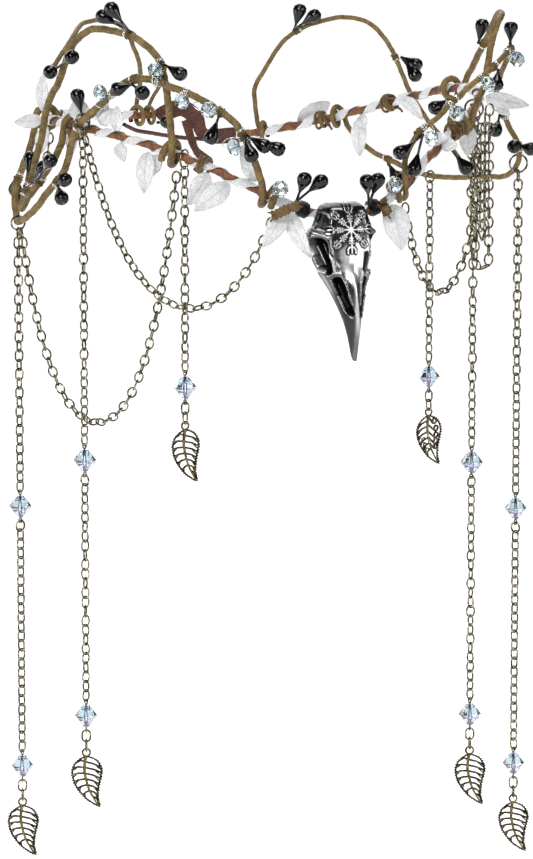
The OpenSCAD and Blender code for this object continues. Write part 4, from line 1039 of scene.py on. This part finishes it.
def layScrolls(shape, left, rib, right):
    for y in charm["scrolls"]:
        near, far = edgeAt(rib, y), edgeAt(right, y)
        centre = near.lerp(far, charm["scrollAt"])
        size = min(charm["scrollMost"], charm["scrollSize"] * (far.x - near.x))
        curl = [centre + polar(math.radians(235 + 22 * k), xAxis, yAxis) * size * (1 - charm["scrollShrink"] * k)
                for k in range(17)]
        layWire(shape, [edgeAt(rib, y + 1.9)] + curl, charm["scrollRadius"], 0.35)
    for y in charm["smallCurls"]:
        near, far = edgeAt(rib, y), edgeAt(left, y)
        centre, size = near.lerp(far, charm["smallAt"]), charm["smallSize"] * (near.x - far.x)
        curl = [centre + polar(0.4 * k, xAxis, yAxis) * size for k in range(14)]
        layWire(shape, curl, charm["forkRadius"], 0.5)


def makeCharms():
    for name, angle, outside, *_, turn, style in drops:
        node = "charm_" + name
        centre = spot((angle, outside, 0))
        centre.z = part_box(node)[1][2] / mm - charm["loopRadius"] - 0.35
        place = (Matrix.Translation(centre) @ Matrix.Rotation(math.radians(viewTurn + turn), 4, "Z")
                 @ Matrix.Rotation(math.pi / 2, 4, "X"))
        lattice, midrib = newShape(), newShape()
        layCharm(lattice, style)
        layTube(midrib, [p + up * 0.25 for p in charmCurve(2)], 0, 8, lambda distance, turn: 0.7 - 0.018 * distance,
                side=up)
        for shape in (lattice, midrib):
            bmesh.ops.transform(shape, matrix=place, verts=shape.verts)
        finishPiece(lattice, pieceName(node, "Lattice"), "charm", [node])
        finishPiece(midrib, pieceName(node, "Midrib"), "brass" if style == "scroll" else "rib")


makeCharms()
print("charms")


# Thread wound over the hoop beside the skull, in layers that cross, each 1 mm shorter: (number, way)
lashing = {"places": [-11.6, 7.6], "turns": 8, "length": 4.8, "radius": 0.26, "layers": [(0, 1), (1, -1), (2, 1)],
           "waver": 0.12, "sink": 0.35, "layerLift": 0.4}


def makeLashings():
    shape = newShape()
    n = lashing["turns"] * 24
    for place in lashing["places"]:
        for layer, way in lashing["layers"]:
            width = way * (lashing["length"] - layer) / hoop["perDegree"]
            reach = wrapReach - lashing["sink"] + lashing["layerLift"] * layer
            path = [roundHoop(place + width * (i / n - 0.5) + lashing["waver"] * math.sin(i * 0.23 + layer),
                              360 * lashing["turns"] * i / n, reach) for i in range(n + 1)]
            layTube(shape, path, lashing["radius"], 7)
    finishPiece(shape, "templeThread", "thread", ["temple_lashings"])


makeLashings()

# Olive tape on the two cut stubs and at the feet of the sprigs, and thin silver tie wires. A glass bead's place has
# the turn of its wire as its last column
stubs = {"rods": [((-19.5, 9.6, -29), (-13.4, 8, -25.6)), ((9.5, 5.9, -30.5), (8.2, 6.1, -26.6))], "radius": 1.75,
         "tape": (1.7, 0.45, 0.5), "fibre": 0.34, "fibres": 5,
         # Places along a fibre: (out from the middle, beyond the end)
         "fibrePath": [(1.1, -0.5), (1.5, 0.4), (2.1, 1.3)]}
ties = {"tape": (0.16, 2.4, 2.6, 0.38, 6), "wire": (0.24, 1.1, 2.2, 0.16, 5), "glassWire": (0.2, 2.2, 3.2, 0.17, 5),
        "waver": 0.12, "wireFrom": 1.9, "leastLoop": 3.1, "loopWire": 0.34, "loopTilt": 0.3}
sprigFeet = [
    (-57, 2.3, 36.9), (-84.4, 6, 18.6), (-73.6, 2.6, 2.4), (-54, 7, 17.6), (-46.8, 4.8, 26.2), (-32, 6.7, 7.2),
    (-26.2, 6.7, 1.1), (-96.4, 10.8, -27.6), (-108.2, 12.4, -26.6), (-93, 10, -25.2), (-84.2, 13, -23.5),
    (-77.9, 9.7, -23), (18.6, 8.6, -1.4), (30.5, 3.9, 10.1), (81.2, 2.9, 24.5), (59.5, 12.4, 27.7),
    (45.6, 13.1, 19.6), (75.4, 17, -14.9), (77, 10, -3.5), (149.6, 5, 22.8), (120.7, 7.4, 13.7), (124, 7, -30.6)]
glassPlaces = [
    (-62.8, 8.5, 13.8, 20), (-46.8, 9.6, 23.6, 60), (-41.5, 4.7, 12.3, 30), (-34, 9, 9.7, 70), (-28.4, 6.8, -4.2, 10),
    (-17.4, 7.4, -19.1, 50), (11.5, 6.3, -19.3, 10), (21.4, 8.6, -3, 40), (30.8, 8.4, 5.2, 70),
    (40.5, 12.7, 15.1, 20), (55, 16.1, 22.4, 60)]


def nearestVine(place):
    gap, k, i = min(((path[i] - place).length, k, i) for k, (path, radius) in enumerate(vinePaths)
                    for i in range(2, len(path) - 2, 3))
    path, radius = vinePaths[k]
    return path[i], (path[i + 2] - path[i - 2]).normalized(), radius


# A strand wound round a vine. Its winding is (gap to the vine, length along it, turns, radius of the strand, sides)
def layWinding(shape, centre, along, radius, winding, start, tone=None):
    gap, length, turns, wire, sides = winding
    side = along.orthogonal().normalized()
    other = along.cross(side)
    n = int(turns * 18)
    path = [centre + along * length * (i / n - 0.5) + (radius + gap + ties["waver"] * math.sin(i * 0.9 + start))
            * polar(start + turnAll * turns * i / n, side, other) for i in range(n + 1)]
    layTube(shape, path, wire, sides, wrapOf=tone)


def makeTies():
    tape, wires = newShape(), newShape()
    for k, place in enumerate(sprigFeet):
        centre, along, radius = nearestVine(spot(place))
        layWinding(tape, centre, along, radius, ties["tape"], k, 0.3)
        layWinding(wires, centre + along * ties["wireFrom"], along, radius, ties["wire"], k * 2)
    for k, (angle, outside, height, turn) in enumerate(glassPlaces):
        bead = spot((angle, outside, height))
        centre, along, radius = nearestVine(bead)
        axis = (polar(math.radians(turn + viewTurn), xAxis, yAxis) + up * ties["loopTilt"]).normalized()
        inward = (centre - bead).normalized()
        inward = (inward - axis * inward.dot(axis)).normalized()
        r = max(ties["leastLoop"], ((centre - bead).length + radius) / 2)
        layLoop(wires, bead + inward * r, axis, inward, r, ties["loopWire"], 5, 28)
        layWinding(wires, centre, along, radius, ties["glassWire"], k)
    finishPiece(tape, "sprigTapes", "raffia")
    finishPiece(wires, "tieWires", "silver")


def makeStubs():
    shape = newShape()
    for ends in stubs["rods"]:
        a, b = (spot(end) for end in ends)
        layWrapped(shape, evenPath([a, b], 0.3), stubs["radius"], 14, stubs["tape"])
        along = (b - a).normalized()
        side = along.orthogonal().normalized()
        for k in range(stubs["fibres"]):
            out = polar(k * 1.3, side, along.cross(side))
            foot, way = (a, -along) if k % 2 else (b, along)
            path = [foot + out * reach + way * beyond for reach, beyond in stubs["fibrePath"]]
            layTube(shape, path, stubs["fibre"], 5, wrapOf=0.3)
    finishPiece(shape, "stubTapes", "raffia", ["cut_stubs"])


makeTies()
makeStubs()


# Back tie: a ribbed ribbon folded between the hoop's ends, and a thin lace
tie = {
    "ribbon": [(-171.5, -1, -12), (-174, -3, -9.5), (-178, -5, -8), (-182, -6, -12), (-184, -5, -18),
               (-187, -4, -20), (-192, -2, -20), (-194.5, -1, -20)],
    "tail": [(-179, -5.5, -13), (-180, -7.5, -20), (-182, -8.5, -26), (-186, -8, -30)],
    "lace": [(-161, 1, -13.9), (-165.5, 1.5, -16.8), (-170, 1, -18.2), (-175, -1, -19.6), (-180, -2.8, -20.6),
             (-187, -1.8, -21.5), (-190.5, -0.5, -22), (-194, 1.2, -22.4), (-199, 3.6, -22.2)],
    "width": 6.6, "tailWidth": 3.6, "thickness": 0.7, "ribPitch": 1.5, "ribLift": 0.28, "gather": 0.25, "gatherAt": 0.6,
    "gatherHalf": 0.12, "fold": 0.5,
    "laceRadius": 0.85, "laceTape": (2.4, 0.12, 0.05),
}


def makeTie():
    for name, rows, width, side in (("tieRibbonFold", tie["ribbon"], tie["width"], up),
                                    ("tieRibbonTail", tie["tail"], tie["tailWidth"], xAxis)):
        path = evenPath(smoothRoute(rows), 0.25)
        strips, length = frames(path, side), pathLength(path)
        count = len(path) - 1

        def rib(u, v):
            return abs(math.sin(math.pi * length / tie["ribPitch"] * u + 0.5 * math.sin((2 * v - 1) * 3)))

        def place(u, v):
            here, a, b = strips[round(u * count)]
            across = 2 * v - 1
            gather = 1 - tie["gather"] * math.exp(-((u - tie["gatherAt"]) / tie["gatherHalf"]) ** 2)
            fold = tie["fold"] * math.sin(u * 9 + across * 2) * (1 - u * 0.5)
            return here + a * across * width / 2 * gather + b * (fold + tie["ribLift"] * rib(u, v))

        shape = newShape()
        # The grooves between the ribs are painted dark, as shade
        layGrid(shape, count, 12, place, (length / 10, width / 10), lambda u, v: rib(u, v) * 0.7)
        piece = finishPiece(shape, name, "brownRibbon", ["tie_ribbon"])
        thicken(piece, tie["thickness"])
    shape = newShape()
    layWrapped(shape, evenPath(smoothRoute(tie["lace"]), 0.7), tie["laceRadius"], 10, tie["laceTape"])
    finishPiece(shape, "tieLace", "lace", ["tie_lace"])


makeTie()
print("lashings and tie")


# Studio: a pale sweep, soft lights, and the photograph's camera
studio = {
    "floor": -0.36, "half": 4, "middle": -2.4, "bend": 0.7, "bendSteps": 12, "wall": 4, "white": (0.86, 0.86, 0.86),
    "glow": 0.56, "world": 0.05,
    # Soft lights: name, place, width, height, watts
    "lights": [
        ("key", (-1.0, -1.2, 1.0), 0.6, 0.8, 24.0), ("fill", (1.3, -1.1, 0.3), 0.25, 1.0, 6.0),
        ("top", (0.1, -0.2, 1.4), 0.7, 0.7, 12.0), ("low", (-0.7, -1.7, -0.1), 0.25, 0.5, 3.0),
        ("back", (0.5, 1.2, 0.9), 1.2, 1.0, 10.0), ("front", (0.5, -1.4, 0.28), 0.42, 0.34, 4.0),
        ("side", (-1.3, 0.25, -0.1), 0.8, 0.7, 7.0),
    ],
}
camera = {"place": (-0.6803, -1.8691, 0.2091), "yaw": -20, "pitch": 9.576, "lens": 214.92, "shift": 0.00524}


# A floor, and a bent wall that rises from its middle third alone, so the crown can be seen from behind
def makeSweep():
    half, steps = studio["half"], studio["bendSteps"]
    corner = Vector((0, studio["middle"] + half, studio["floor"]))
    step = studio["bend"] * math.pi / 2 / steps
    profile = [corner]
    for i in range(steps):
        profile.append(profile[-1] + polar(math.pi / 2 * i / steps, yAxis, up) * step)
    profile.append(profile[-1] + up * studio["wall"])
    rows = len(profile) - 1
    shape = newShape()
    layGrid(shape, 3, 1, lambda u, v: corner + Vector((2 * u - 1, 2 * v - 2, 0)) * half)
    layGrid(shape, 1, rows, lambda u, v: profile[round(v * rows)] + xAxis * (2 * u - 1) * half / 3)
    bmesh.ops.remove_doubles(shape, verts=shape.verts, dist=0.001)
    paper = dress(newMaterial("studioPaper")[0], colour=studio["white"], rough=0.9, Emission_Color=(1, 1, 1),
                  Emission_Strength=studio["glow"])
    show("paperSweep", meshOf(shape, "paperSweep", paper))


def makeLights():
    for name, place, width, height, power in studio["lights"]:
        lamp = bpy.data.lights.new(name, "AREA")
        lamp.shape = "RECTANGLE"
        lamp.size, lamp.size_y = width, height
        lamp.energy = power
        holder = show(name, lamp)
        holder.location = place
        holder.rotation_euler = (Vector((0, 0, -0.1)) - Vector(place)).to_track_quat("-Z", "Y").to_euler()
    world = bpy.data.worlds.new("studioLight")
    bpy.context.scene.world = world
    world.use_nodes = True
    light = world.node_tree.nodes["Background"].inputs
    light["Color"].default_value = (1, 1, 1, 1)
    light["Strength"].default_value = studio["world"]


def makeCamera():
    lens = bpy.data.cameras.new("camera")
    lens.sensor_width = 36
    lens.lens = camera["lens"]
    lens.shift_x = camera["shift"]
    lens.clip_end = 20
    holder = show("camera", lens)
    holder.location = camera["place"]
    holder.rotation_euler = (math.radians(90 - camera["pitch"]), 0, math.radians(camera["yaw"]))
    bpy.context.scene.camera = holder
    bpy.context.scene.view_settings.view_transform = "Standard"


makeSweep()
makeLights()
makeCamera()
print("studio and camera")
